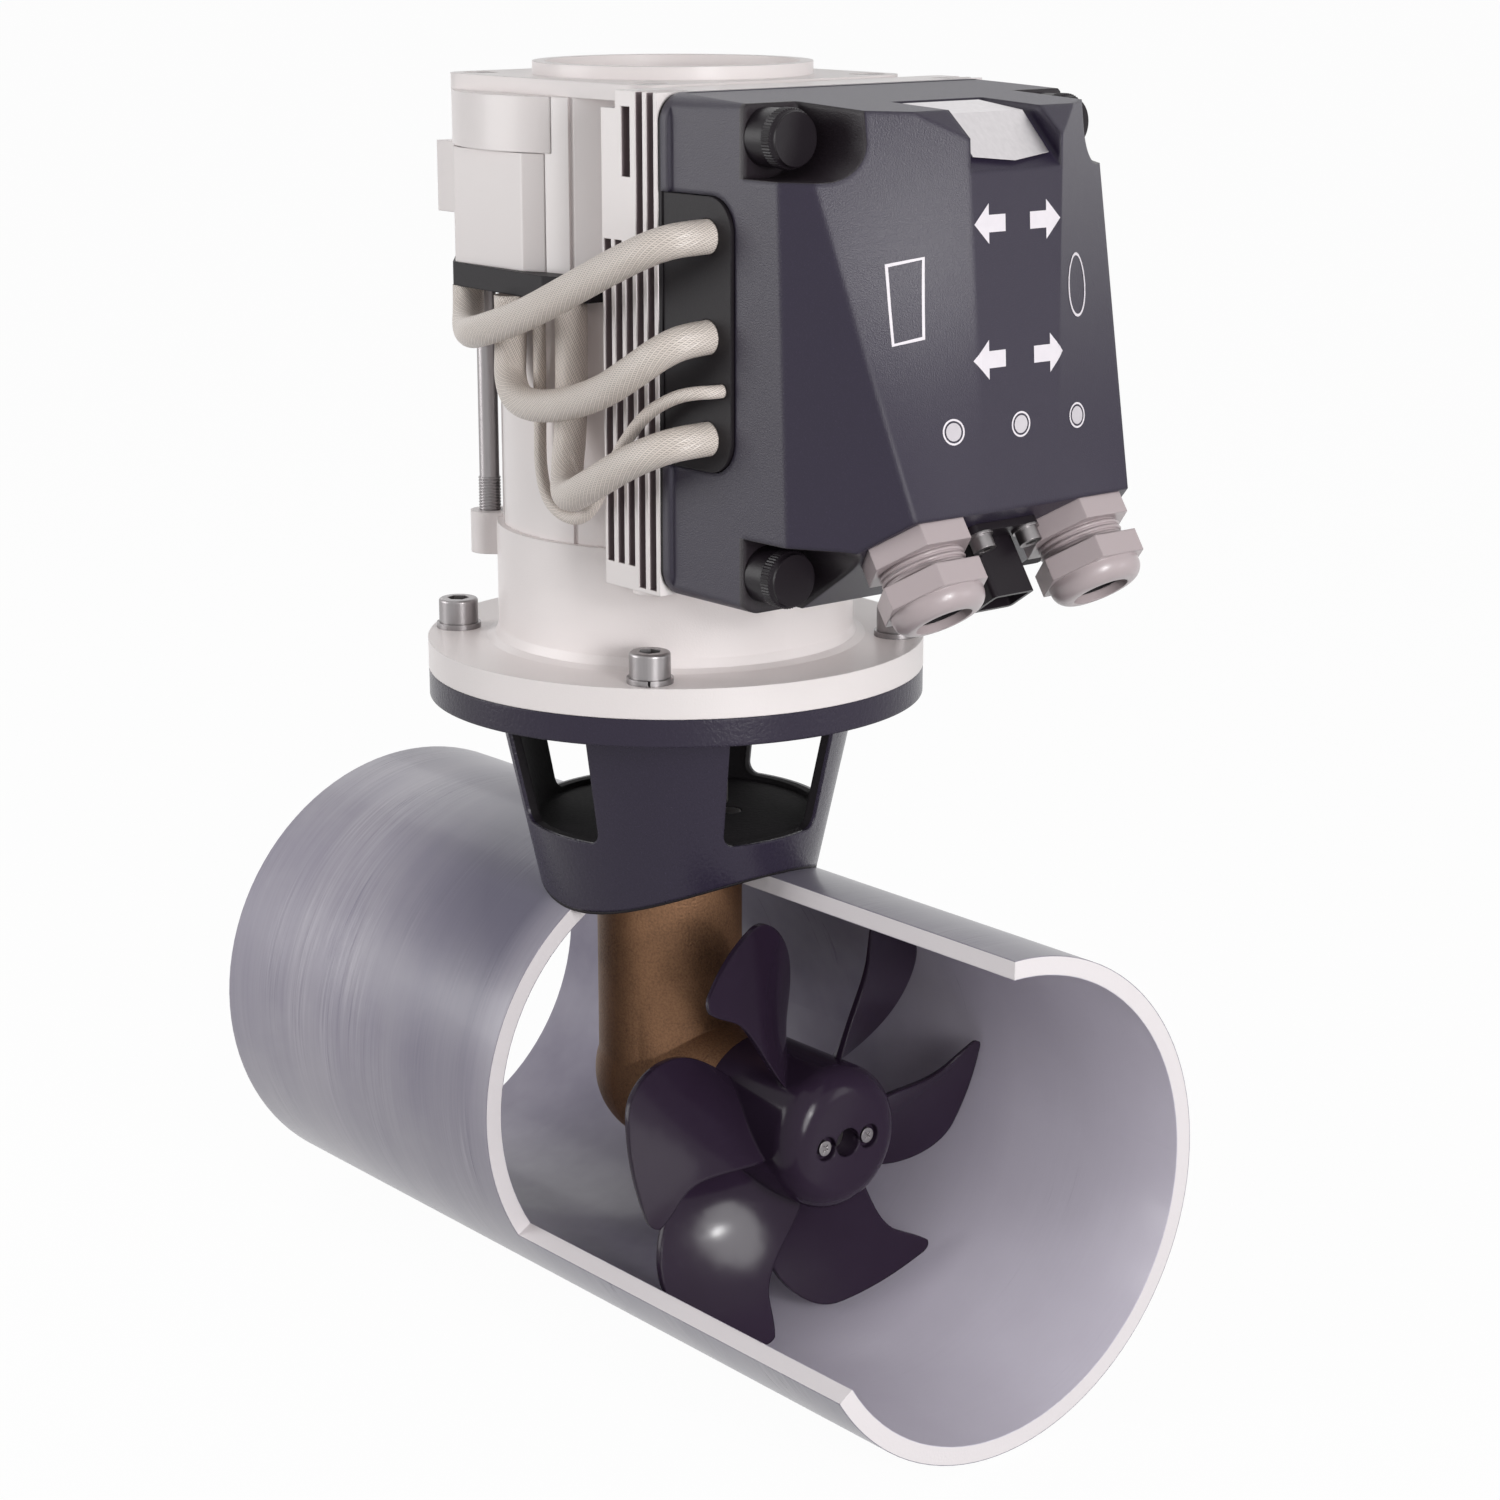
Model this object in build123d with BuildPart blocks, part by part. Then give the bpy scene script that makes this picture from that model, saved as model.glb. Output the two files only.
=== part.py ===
from build123d import *
from math import atan, cos, degrees, hypot, pi, radians, sin, sqrt, tan
import os

os.makedirs("parts", exist_ok=True)

# Tunnel thruster, in millimetres.
# The origin is where the tunnel axis (X) crosses the vertical drive axis (Z).
# The propeller and the controller are on the +X side, the motor is at the top.

# Fits
face_clearance = 0.3
shaft_clearance = 0.05
bolt_clearance = 0.4

# Tunnel tube, cut away over a quarter so that the propeller shows
tunnel_bore = 185.0
tunnel_wall = 7.5
tunnel_length = 400.0
cut_start_angle = 90.0
cut_end_angle = 211.5
tunnel_r = tunnel_bore / 2
tunnel_outer_r = tunnel_r + tunnel_wall
gasket_t = 1.0

# Gear leg
leg_x = -5.6
leg_r = 30.4
leg_top = 103.0
collar_r = leg_r + 1.0
collar_z = tunnel_r - 1.0
collar_h = 2.5
case_r = 32.0
nose_r = 25.8
nose_end = 38.0
spigot_r = 22.6
gear_room_r = 24.4
leg_shoulder_z = 52.0
leg_screw_r = 3.0
leg_screw_circle = 25.0
leg_screw_length = 24.0

# Bevel gears: the pinion is on the drive shaft, the gear on the propeller shaft
pinion_teeth = 13
gear_teeth = 21
gear_module = 1.9
tooth_face = 7.0
tooth_height_up = 1.5
tooth_height_down = 2.6
tooth_share = 0.41
gear_trim_r = 21.2

# Shafts and bearings: bore, outer diameter and width
shaft_d = 12.0
motor_shaft_d = 20.0
leg_bearing = (12.0, 32.0, 10.0)
nose_bearing = (12.0, 28.0, 8.0)
motor_lower_bearing = (20.0, 47.0, 14.0)
motor_upper_bearing = (17.0, 40.0, 12.0)
lower_leg_bearing_z = 36.0
upper_leg_bearing_z = 86.0
rear_bearing_x = -29.0
front_bearing_x = 26.0
leg_seal_z = 96.5
leg_seal_h = 6.0

# Intermediate flange, the bell between the tunnel and the motor
disc_r = 101.0
disc_bottom = 167.8
disc_top = 178.9
bell_top_r = 74.5
bell_slope = 0.215
bell_wall = 5.0
bell_floor = 114.0
bell_bottom = 68.0
spigot_bore_r = 62.0
window_sill = 116.0
window_angle = 44.0
window_corner = 5.0

# Flange screws, M10 with a 16 mm head
flange_circle = 2 * disc_r - 22
screw_r = 5.0
screw_head_r = 8.0
screw_head_h = 10.0
screw_hex = 8.0
washer_r = 9.05
washer_t = 2.2

# Jaw coupling in the bell
coupling_r = 21.0
lower_hub_z = 119.0
hub_h = 17.0
jaw_h = 11.0
jaw_angle = 44.0

# Motor
base_flange_r = disc_r + 0.1
base_flange_t = 12.0
base_r = 72.3
base_top = 238.5
cup_floor = 200.0
tube_r = 69.7
tube_wall = 6.2
lug_half = 53.7
lug_r = 8.0
lug_bottom = 223.0
lug_top = 240.0
rod_r = 4.05
core_z = 262.0
core_length = 90.0
core_bore_r = 44.0
slots = 12
tooth_width = 9.0
coil_t = 4.5
air_gap = 0.8
magnet_t = 6.5
magnets = 8
cap_z = 408.3
cap_t = 6.1
cap_half = 65.7
cap_corner = 12.0
cap_ring_r = 55.0
cap_ring_wall = 5.0
cap_ring_top = 419.4
cap_hub_r = 26.0
cap_hub_z = 388.0
lump_r = 67.0
lump_z = 387.0

# Terminal housing on the -Y side
band_z = 333.4
terminal_z = 342.5
terminal_front = -tube_r - 4.3
terminal_outline = ((-45.0, terminal_front), (0.0, terminal_front), (22.0, terminal_front + 12),
                    (30.0, -40.0), (-40.0, -20.0), (-73.0, -20.0), (-76.0, -42.0),
                    (-62.0, terminal_front + 13.5))
side_block = (16.0, 37.0, 28.0)
side_block_at = (-72.0, -39.0, 359.0)

# Heat sink and controller
sink_rear = 58.3
sink_front = 91.0
sink_half = 80.0
sink_bottom = 231.0
sink_top = 413.6
fin_pitch = 6.35
fin_t = 2.0
first_fin = 57.2
groove_depth = 17.0
sink_block_z = 360.0
rim_t = 4.0
rim_corner = 10.0
gasket_width = 5.0
cover_wall = 3.0
cover_half = 80.0
knob_y = 67.0
knob_z = (400.0, 245.0)
knob_r = 10.25
knob_t = 16.0
knob_front = 152.0
knob_stud_r = 3.0
recess_r = 14.0
cover_plan_low = (279.0, ((91.0, 78.6), (158.0, 77.0), (197.5, 54.0), (198.0, 17.5)))
cover_plan_high = (400.0, ((91.0, 78.6), (153.1, 77.0), (160.3, 72.0), (191.5, 23.0)))
cover_top_edge = (180.4, 409.5)
badge_floor = ((151.0, 409.1), (174.8, 406.3), (191.8, 389.2))
badge_half = 18.5
badge_t = 1.5
badge_room_half = 22.0
grommet_face_y = 79.0
grommet_z = (281.0, 379.0)
grommet_x = (93.3, 131.0)
board_t = 1.6
board_x = 105.0
board_half = 48.0

# Cable glands, M32, on the slanted underside of the cover
gland_y = 39.4
gland_x = 183.4
gland_flats = 36.0
gland_flange_t = 8.0
gland_neck_r = 15.0
gland_neck_end = 20.0
gland_nut_start = 15.0
gland_nut_end = 31.0
gland_hexagon_h = 8.5
gland_dome_r = 17.4
gland_dome_round = 6.0
gland_hole_r = 10.5
seal_end = 27.7
seal_bore_r = 10.0

# Propeller
propeller_r = 90.0
blades = 6
blade_rise = 0.6
blade_corner_x = 93.0
blade_corner_angle = 13.0
blade_t = 4.2
hub_r = 30.0
hub_round = 11.0
hub_rear = 50.0
hub_front = 108.0
drive_hub_r = 18.0
drive_hub_x = (62.0, 96.0)
propeller_screw_y = 11.2

# Leads: three power leads and one signal lead, from the terminals to the grommet
lead_r = 6.2
signal_r = 2.45
lead_routes = (
    ((-43, -69.5, band_z), (-43, -69.5, 325), (-30, -79.5, 316.5), (-4, -92, 320.5), (31, -96.5, 330),
     (65, -98.5, 343.5), (94, -99, 355.5), (112, -95.5, 363), (118, -86.5, 365), (118, -70.2, 365)),
    ((-4.5, -77, band_z), (-4.5, -77, 315), (-2.5, -79.5, 300), (14, -86, 294), (44, -91, 297),
     (76, -95, 306), (97, -97, 316), (112, -94.5, 325.5), (118, -86.5, 329.5), (118, -70.2, 329.5)),
    ((28.5, -72.5, band_z), (28.5, -72.5, 311), (28.2, -73, 287), (31, -77.5, 269), (44, -87.5, 261.5),
     (70, -95.5, 271.5), (95, -97.5, 283.5), (111.5, -95, 290.5), (118, -86.5, 293), (118, -70.2, 293)),
)
signal_route = ((10, -74, band_z), (10, -74, 312), (9.6, -74, 288), (10.5, -75, 266), (20, -77.5, 254.5),
                (38, -79.5, 251.5), (52, -81.5, 257.5), (63, -83.5, 271), (76, -85.5, 286),
                (94, -88, 300.5), (112, -89, 308.5), (122, -87, 310.8), (126, -82.5, 311), (126, -70.2, 311))

slant_start = (140.0, 231.0)
slant_end = (198.0, 270.0)
slant = Vector(slant_end[1] - slant_start[1], 0, slant_start[0] - slant_end[0]).normalized()
slant_offset = slant.X * slant_start[0] + slant.Z * slant_start[1]
pinion_pitch_r = gear_module * pinion_teeth / 2
gear_pitch_r = gear_module * gear_teeth / 2
cone_distance = hypot(pinion_pitch_r, gear_pitch_r)
inner_scale = 1 - tooth_face / cone_distance


# Helpers that work on the part being built
def disc(plane, r, height, mode=Mode.ADD):
    with BuildSketch(plane) as face:
        Circle(r)
    extrude(face.sketch, amount=height, mode=mode)


def ring(plane, outer_r, inner_r, height, mode=Mode.ADD):
    with BuildSketch(plane) as face:
        Circle(outer_r)
        Circle(inner_r, mode=Mode.SUBTRACT)
    extrude(face.sketch, amount=height, mode=mode)


def block(plane, points, height, mode=Mode.ADD, both=False, corner=0):
    with BuildSketch(plane) as face:
        with BuildLine():
            Polyline(*points, close=True)
        make_face()
        if corner:
            fillet(face.vertices(), corner)
    extrude(face.sketch, amount=height, both=both, mode=mode)


def turned(plane, points, axis, mode=Mode.ADD):
    with BuildSketch(plane) as face:
        with BuildLine():
            Polyline(*points, close=True)
        make_face()
    revolve(face.sketch, axis=axis, mode=mode)


def save(name, part):
    part.label = name
    export_step(part, f"parts/{name}.step")


def level(z):
    return Plane.XY.offset(z)


def across(x):
    return Plane.YZ.offset(x)


def on_slant(x, y=0.0, out=0.0):
    z = (slant.X * x - slant_offset) / -slant.Z
    origin = Vector(x, y, z) + slant * out
    return Plane(origin=origin, x_dir=(0, 1, 0), z_dir=slant)


def tooth_points(teeth, root_r, pitch_r, tip_r, first_angle, scale):
    """Outline of a toothed wheel, straight-flanked, as points around its axis."""
    points = []
    pitch = 360 / teeth
    for tooth in range(teeth):
        centre = first_angle + tooth * pitch
        for r, share in ((root_r, -0.70), (pitch_r, -tooth_share), (tip_r, -0.17),
                         (tip_r, 0.17), (pitch_r, tooth_share), (root_r, 0.70)):
            angle = radians(centre + share * pitch / 2)
            points.append((r * scale * cos(angle), r * scale * sin(angle)))
    return points


def lead_tube(route, r):
    points = [Vector(*point) for point in route]
    radii = []
    for before, here, after in zip(points, points[1:], points[2:]):
        turn = (here - before).get_angle(after - here)
        run = min((here - before).length, (after - here).length)
        radii.append(0.45 * run / tan(radians(turn / 2)))
    with BuildLine() as path:
        FilletPolyline(*points, radius=radii)
    with BuildSketch(Plane(origin=points[0], z_dir=points[1] - points[0])) as section:
        Circle(r)
    sweep(section.sketch, path=path.wire())
    print("lead radii", [round(radius, 1) for radius in radii], "length", round(path.wire().length, 1))


# Tunnel tube with its cut-away and the hole for the leg
with BuildPart() as tunnel:
    ring(across(-tunnel_length / 2), tunnel_outer_r, tunnel_r, tunnel_length)
    with BuildSketch(across(0)):
        with BuildLine():
            reach = 1.3 * tunnel_outer_r
            middle_angle = (cut_start_angle + cut_end_angle) / 2
            edge_points = [(reach * cos(radians(a)), reach * sin(radians(a)))
                           for a in (cut_start_angle, middle_angle, cut_end_angle)]
            Line((0, 0), edge_points[0])
            ThreePointArc(*edge_points)
            Line(edge_points[2], (0, 0))
        make_face()
    extrude(amount=tunnel_length, mode=Mode.SUBTRACT)
    with BuildSketch(Plane.XY):
        with Locations((leg_x, 0)):
            Circle(collar_r + face_clearance)
    extrude(amount=2 * tunnel_outer_r, mode=Mode.SUBTRACT)
save("tunnel", tunnel.part)

# Saddle gasket between the tunnel and the bell
bell_r_at = {z: bell_top_r - bell_slope * (disc_bottom - z) for z in (bell_bottom, bell_floor, disc_bottom)}
with BuildPart() as saddle_gasket:
    ring(across(-bell_top_r), tunnel_outer_r + gasket_t, tunnel_outer_r, 2 * bell_top_r)
    turned(Plane.XZ, ((0, bell_bottom), (bell_r_at[bell_bottom], bell_bottom),
                      (bell_r_at[bell_floor], bell_floor), (0, bell_floor)), Axis.Z, Mode.INTERSECT)
    with BuildSketch(Plane.XY):
        with Locations((leg_x, 0)):
            Circle(collar_r + face_clearance)
    extrude(amount=2 * tunnel_outer_r, mode=Mode.SUBTRACT)
save("saddle_gasket", saddle_gasket.part)

# Intermediate flange: a cone with four windows on a saddle
with BuildPart() as intermediate_flange:
    turned(Plane.XZ, ((0, bell_bottom), (bell_r_at[bell_bottom], bell_bottom),
                      (bell_r_at[disc_bottom], disc_bottom), (disc_r, disc_bottom),
                      (disc_r, disc_top), (0, disc_top)), Axis.Z)
    inside_floor_r = bell_r_at[bell_floor] - bell_wall
    inside_top_r = bell_r_at[disc_bottom] - bell_wall
    turned(Plane.XZ, ((0, bell_floor), (inside_floor_r, bell_floor), (inside_top_r, disc_bottom - 1),
                      (inside_top_r - 2, disc_bottom + 2), (spigot_bore_r, disc_bottom + 2),
                      (spigot_bore_r, disc_top + 1), (0, disc_top + 1)), Axis.Z, Mode.SUBTRACT)
    ring(across(-disc_r), tunnel_outer_r + gasket_t, 1.0, 2 * disc_r, Mode.SUBTRACT)
    with BuildSketch(Plane.XY):
        with Locations((leg_x, 0)):
            Circle(leg_r + face_clearance)
    extrude(amount=leg_top + gasket_t, mode=Mode.SUBTRACT)
    disc(Plane.XY, leg_bearing[1] / 2 + 1, bell_floor + 1, Mode.SUBTRACT)
    window_half = window_angle / 2
    for side in range(4):
        near, far = 40.0, 110.0
        wedge = ((near, near * tan(radians(window_half))), (far, far * tan(radians(window_half))),
                 (far, -far * tan(radians(window_half))), (near, -near * tan(radians(window_half))))
        with BuildPart(mode=Mode.PRIVATE) as window:
            with BuildSketch(level(window_sill)):
                Polygon(*wedge, align=None)
            extrude(amount=disc_bottom - window_sill)
            fillet(window.edges().filter_by(Plane.YZ, reverse=True).filter_by(Axis.Z, reverse=True),
                   window_corner)
        add(window.part.rotate(Axis.Z, 90 * side), mode=Mode.SUBTRACT)
    with Locations(level(disc_top)):
        with PolarLocations(flange_circle / 2, 4, start_angle=45):
            Hole(screw_r + shaft_clearance, depth=disc_top - disc_bottom + 1)
    with Locations(Plane(origin=(leg_x, 0, bell_floor))):
        with PolarLocations(leg_screw_circle, 4, start_angle=45):
            CounterBoreHole(leg_screw_r + bolt_clearance, 5.4, 6.2, depth=bell_floor - leg_top)
save("intermediate_flange", intermediate_flange.part)

# Gasket between the leg and the bell
with BuildPart() as leg_gasket:
    with BuildSketch(level(leg_top)):
        with Locations((leg_x, 0)):
            Circle(leg_r)
            with PolarLocations(leg_screw_circle, 4, start_angle=45):
                Circle(leg_screw_r + bolt_clearance, mode=Mode.SUBTRACT)
        Circle(leg_bearing[1] / 2 + 1, mode=Mode.SUBTRACT)
    extrude(amount=gasket_t)
save("leg_gasket", leg_gasket.part)

# Gear leg: the vertical tube, the round gear case and the nose
with BuildPart() as gear_leg:
    with BuildSketch(Plane.XY):
        with Locations((leg_x, 0)):
            Circle(leg_r)
    extrude(amount=leg_top)
    with BuildSketch(level(collar_z)):
        with Locations((leg_x, 0)):
            Circle(collar_r)
    extrude(amount=collar_h)
    with BuildSketch(Plane.XZ) as case_half:
        with BuildLine():
            RadiusArc((leg_x - case_r, 0), (leg_x, case_r), case_r)
            Line((leg_x, case_r), (nose_end, nose_r))
            Line((nose_end, nose_r), (nose_end, 0))
            Line((nose_end, 0), (leg_x - case_r, 0))
        make_face()
    revolve(case_half.sketch, axis=Axis.X)
    with BuildSketch(level(0)) as shoulder_low:
        with Locations((leg_x + 8, 0)):
            Ellipse(leg_r + 0.6, leg_r - 3)
    with BuildSketch(level(leg_shoulder_z)) as shoulder_high:
        with Locations((leg_x, 0)):
            Ellipse(leg_r - 0.4, leg_r - 0.4)
    loft((shoulder_low.sketch, shoulder_high.sketch))
    turned(Plane.XZ, ((rear_bearing_x, 0), (rear_bearing_x, nose_bearing[1] / 2),
                      (rear_bearing_x + nose_bearing[2], nose_bearing[1] / 2),
                      (rear_bearing_x + nose_bearing[2], gear_room_r), (leg_x, gear_room_r),
                      (leg_x, spigot_r), (nose_end + 1, spigot_r), (nose_end + 1, 0)),
           Axis.X, Mode.SUBTRACT)
    turned(Plane.XZ, ((0, 10), (leg_bearing[1] / 2 - 1.2, 10),
                      (leg_bearing[1] / 2 - 1.2, lower_leg_bearing_z),
                      (leg_bearing[1] / 2, lower_leg_bearing_z), (leg_bearing[1] / 2, leg_top + 1),
                      (0, leg_top + 1)), Axis.Z, Mode.SUBTRACT)
    with Locations(Plane(origin=(leg_x, 0, leg_top))):
        with PolarLocations(leg_screw_circle, 4, start_angle=45):
            Hole(leg_screw_r + shaft_clearance, depth=leg_screw_length - 3.8)
save("gear_leg", gear_leg.part)

# Seal carrier that closes the nose and holds the front bearing and the shaft seals
carrier_end = nose_end + 8.0
seal_x = front_bearing_x + nose_bearing[2] + 1.0
seal_w = 5.0
with BuildPart() as seal_carrier:
    carrier_bearing_r = nose_bearing[1] / 2
    spigot_end_x = front_bearing_x - 1
    turned(Plane.XZ, ((spigot_end_x, carrier_bearing_r), (spigot_end_x, spigot_r - shaft_clearance),
                      (nose_end, spigot_r - shaft_clearance), (nose_end, nose_r), (carrier_end, nose_r - 2),
                      (carrier_end, carrier_bearing_r - 4), (seal_x - 1, carrier_bearing_r - 4),
                      (seal_x - 1, carrier_bearing_r)), Axis.X)
save("seal_carrier", seal_carrier.part)

# Screws from the bell's floor into the leg
with BuildPart() as leg_screws:
    with Locations(Plane(origin=(leg_x, 0, bell_floor - 6.2))):
        with PolarLocations(leg_screw_circle, 4, start_angle=45):
            Cylinder(5.0, 6.0, align=(Align.CENTER, Align.CENTER, Align.MIN))
            Cylinder(leg_screw_r, leg_screw_length, align=(Align.CENTER, Align.CENTER, Align.MAX))
    with Locations(Plane(origin=(leg_x, 0, bell_floor - 0.2))):
        with PolarLocations(leg_screw_circle, 4, start_angle=45):
            with BuildSketch() as socket:
                RegularPolygon(2.5, 6, major_radius=False)
            extrude(socket.sketch, amount=-3, mode=Mode.SUBTRACT)
save("leg_screws", leg_screws.part)

# Drive shaft with its pinion, and the propeller shaft with its gear
drive_shaft_top = lower_hub_z + hub_h
with BuildPart() as drive_shaft:
    disc(level(pinion_pitch_r * 1.1), shaft_d / 2 - shaft_clearance, drive_shaft_top - pinion_pitch_r * 1.1)
save("drive_shaft", drive_shaft.part)

pinion_angle = atan(pinion_teeth / gear_teeth)
gear_angle = pi / 2 - pinion_angle
up_angle = atan(tooth_height_up / cone_distance)
down_angle = atan(tooth_height_down / cone_distance)
with BuildPart() as drive_pinion:
    tip_r = gear_pitch_r * tan(pinion_angle + up_angle)
    root_r = gear_pitch_r * tan(pinion_angle - down_angle)
    for scale in (1, inner_scale):
        with BuildSketch(level(gear_pitch_r * scale)):
            Polygon(*tooth_points(pinion_teeth, root_r, pinion_pitch_r, tip_r, 180, scale), align=None)
    loft(ruled=True)
    disc(level(gear_pitch_r), 9.2, lower_leg_bearing_z - gear_pitch_r - 0.1)
    disc(Plane.XY, shaft_d / 2, lower_leg_bearing_z, Mode.SUBTRACT)
save("drive_pinion", drive_pinion.part)

with BuildPart() as bevel_gear:
    tip_r = pinion_pitch_r * tan(gear_angle + up_angle)
    root_r = pinion_pitch_r * tan(gear_angle - down_angle)
    for scale in (1, inner_scale):
        with BuildSketch(across(-pinion_pitch_r * scale)):
            Polygon(*tooth_points(gear_teeth, root_r, gear_pitch_r, tip_r, 90 + 180 / gear_teeth, scale),
                    align=None)
    loft(ruled=True)
    with BuildSketch(across(-pinion_pitch_r - 1)) as trim:
        Circle(gear_trim_r)
    extrude(trim.sketch, amount=tooth_face, mode=Mode.INTERSECT)
    gear_back = rear_bearing_x + nose_bearing[2] + 0.3
    gear_rim_x = -pinion_pitch_r - tooth_height_down
    gear_rim_r = -gear_rim_x * tan(gear_angle - down_angle)
    turned(Plane.XZ, ((gear_back, 0), (gear_back, 9), (gear_back + 2, 16), (gear_rim_x, gear_rim_r),
                      (-pinion_pitch_r, root_r), (-pinion_pitch_r, 0)), Axis.X)
    disc(across(-pinion_pitch_r), 8.5, 7)
    disc(across(gear_back - 1), shaft_d / 2, 30, Mode.SUBTRACT)
save("bevel_gear", bevel_gear.part)

shaft_end = hub_front - 10
with BuildPart() as propeller_shaft:
    disc(across(rear_bearing_x + 0.5), shaft_d / 2 - shaft_clearance, shaft_end - rear_bearing_x)
    drive_hub_middle = sum(drive_hub_x) / 2
    disc(level(-20).shift_origin((drive_hub_middle, 0, -20)), 2.5 + shaft_clearance, 40, Mode.SUBTRACT)
save("propeller_shaft", propeller_shaft.part)

# Bearings: plane of the lower face, and size. The rings meet half way, as shields hide the balls.
leg_bearings = ((level(lower_leg_bearing_z), leg_bearing), (level(upper_leg_bearing_z), leg_bearing))
motor_bearings = ((level(cup_floor - 16), motor_lower_bearing), (level(cap_hub_z + 2), motor_upper_bearing))
nose_bearings = ((across(rear_bearing_x), nose_bearing), (across(front_bearing_x - 0.2), nose_bearing))


def bearing_rings(bearings, inner):
    for plane, (bore, outer, width) in bearings:
        middle_r = (bore + outer) / 4
        if inner:
            ring(plane, middle_r - face_clearance / 2, bore / 2, width)
        else:
            ring(plane, outer / 2 - shaft_clearance, middle_r + face_clearance / 2, width)


with BuildPart() as bearing_outer_rings:
    bearing_rings(leg_bearings + motor_bearings + nose_bearings, inner=False)
save("bearing_outer_rings", bearing_outer_rings.part)

with BuildPart() as drive_bearing_inner_rings:
    bearing_rings(leg_bearings + motor_bearings, inner=True)
save("drive_bearing_inner_rings", drive_bearing_inner_rings.part)

with BuildPart() as propeller_bearing_inner_rings:
    bearing_rings(nose_bearings, inner=True)
save("propeller_bearing_inner_rings", propeller_bearing_inner_rings.part)

with BuildPart() as bearing_spacer:
    spacer_z = lower_leg_bearing_z + leg_bearing[2]
    ring(level(spacer_z), leg_bearing[1] / 2 - 0.2, leg_bearing[1] / 2 - 3, upper_leg_bearing_z - spacer_z)
save("bearing_spacer", bearing_spacer.part)

with BuildPart() as shaft_seals:
    ring(level(leg_seal_z), leg_bearing[1] / 2 - shaft_clearance, shaft_d / 2 + 0.1, leg_seal_h)
    for start in (seal_x + 0.2, seal_x + seal_w + 0.6):
        ring(across(start - 0.6), nose_bearing[1] / 2 - 4.1, shaft_d / 2 + 0.1, seal_w)
    ring(level(cup_floor - 24), 17.9, motor_shaft_d / 2 - 1.9, 7)
save("shaft_seals", shaft_seals.part)

# Jaw coupling: two hubs with three jaws each and a spider between them
upper_hub_z = lower_hub_z + hub_h + jaw_h + 1


def jaws(plane, first_angle, height):
    half = radians(jaw_angle / 2)
    for jaw in range(3):
        turn = radians(first_angle + 120 * jaw)
        with BuildSketch(plane) as face:
            with BuildLine():
                corners = [(r * cos(turn + a), r * sin(turn + a))
                           for r, a in ((10.5, -half), (coupling_r, -half), (coupling_r, 0),
                                        (coupling_r, half), (10.5, half))]
                Line(corners[0], corners[1])
                ThreePointArc(*corners[1:4])
                Line(corners[3], corners[4])
                Line(corners[4], corners[0])
            make_face()
        extrude(face.sketch, amount=height)


with BuildPart() as coupling_lower_hub:
    ring(level(lower_hub_z), coupling_r, shaft_d / 2, hub_h)
    jaws(level(lower_hub_z + hub_h), 0, jaw_h)
save("coupling_lower_hub", coupling_lower_hub.part)

with BuildPart() as coupling_upper_hub:
    ring(level(upper_hub_z), coupling_r, shaft_d / 2 + 2, hub_h)
    jaws(level(upper_hub_z - jaw_h), 60, jaw_h)
save("coupling_upper_hub", coupling_upper_hub.part)

with BuildPart() as coupling_spider:
    spider_z = lower_hub_z + hub_h + 0.2
    disc(level(spider_z), 9.4, jaw_h)
    with Locations(level(spider_z)):
        with PolarLocations(13.5, 6, start_angle=30):
            Box(12, 2.6, jaw_h, align=(Align.CENTER, Align.CENTER, Align.MIN))
save("coupling_spider", coupling_spider.part)

# Motor base with its flange, bearing seat, cup and four lugs
with BuildPart() as motor_base:
    base_flange_top = disc_top + base_flange_t
    turned(Plane.XZ, ((18, disc_top - 7), (spigot_bore_r - 0.1, disc_top - 7),
                      (spigot_bore_r - 0.1, disc_top),
                      (base_flange_r, disc_top), (base_flange_r, base_flange_top),
                      (base_r + 5, base_flange_top), (base_r + 1.4, base_flange_top + 1.4),
                      (base_r, base_flange_top + 5), (base_r, base_top), (tube_r - tube_wall, base_top),
                      (tube_r - tube_wall, cup_floor), (motor_lower_bearing[1] / 2, cup_floor),
                      (motor_lower_bearing[1] / 2, cup_floor - 16), (18, cup_floor - 16)), Axis.Z)
    for turn in range(4):
        with BuildSketch(level(lug_bottom)) as lug:
            with Locations(Rotation(0, 0, 45 + 90 * turn)):
                with Locations((lug_half * sqrt(2) - 6, 0)):
                    SlotCenterToCenter(12, 2 * lug_r)
        extrude(lug.sketch, amount=lug_top - lug_bottom)
    disc(level(cup_floor), tube_r - tube_wall, base_top - cup_floor + 5, Mode.SUBTRACT)
    disc(level(base_top), tube_r + 0.1, 5, Mode.SUBTRACT)
    with Locations(level(lug_top)):
        with GridLocations(2 * lug_half, 2 * lug_half, 2, 2):
            Hole(rod_r + shaft_clearance, depth=15)
    with Locations(level(base_flange_top)):
        with PolarLocations(flange_circle / 2, 4, start_angle=45):
            Hole(screw_r + bolt_clearance, depth=base_flange_t)
save("motor_base", motor_base.part)

# Flange screws with hexagon sockets and split spring washers
flange_top = disc_top + base_flange_t
with BuildPart() as flange_bolts:
    with Locations(level(flange_top + washer_t)):
        with PolarLocations(flange_circle / 2, 4, start_angle=45):
            Cylinder(screw_head_r, screw_head_h, align=(Align.CENTER, Align.CENTER, Align.MIN))
            Cylinder(screw_r, washer_t + flange_top - disc_bottom,
                     align=(Align.CENTER, Align.CENTER, Align.MAX))
    fillet(flange_bolts.edges().filter_by(GeomType.CIRCLE).group_by(Axis.Z)[-1], 1.2)
    with BuildSketch(level(flange_top + washer_t + screw_head_h)):
        with PolarLocations(flange_circle / 2, 4, start_angle=45):
            RegularPolygon(screw_hex / 2, 6, major_radius=False)
    extrude(amount=-5, mode=Mode.SUBTRACT)
save("flange_bolts", flange_bolts.part)

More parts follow.
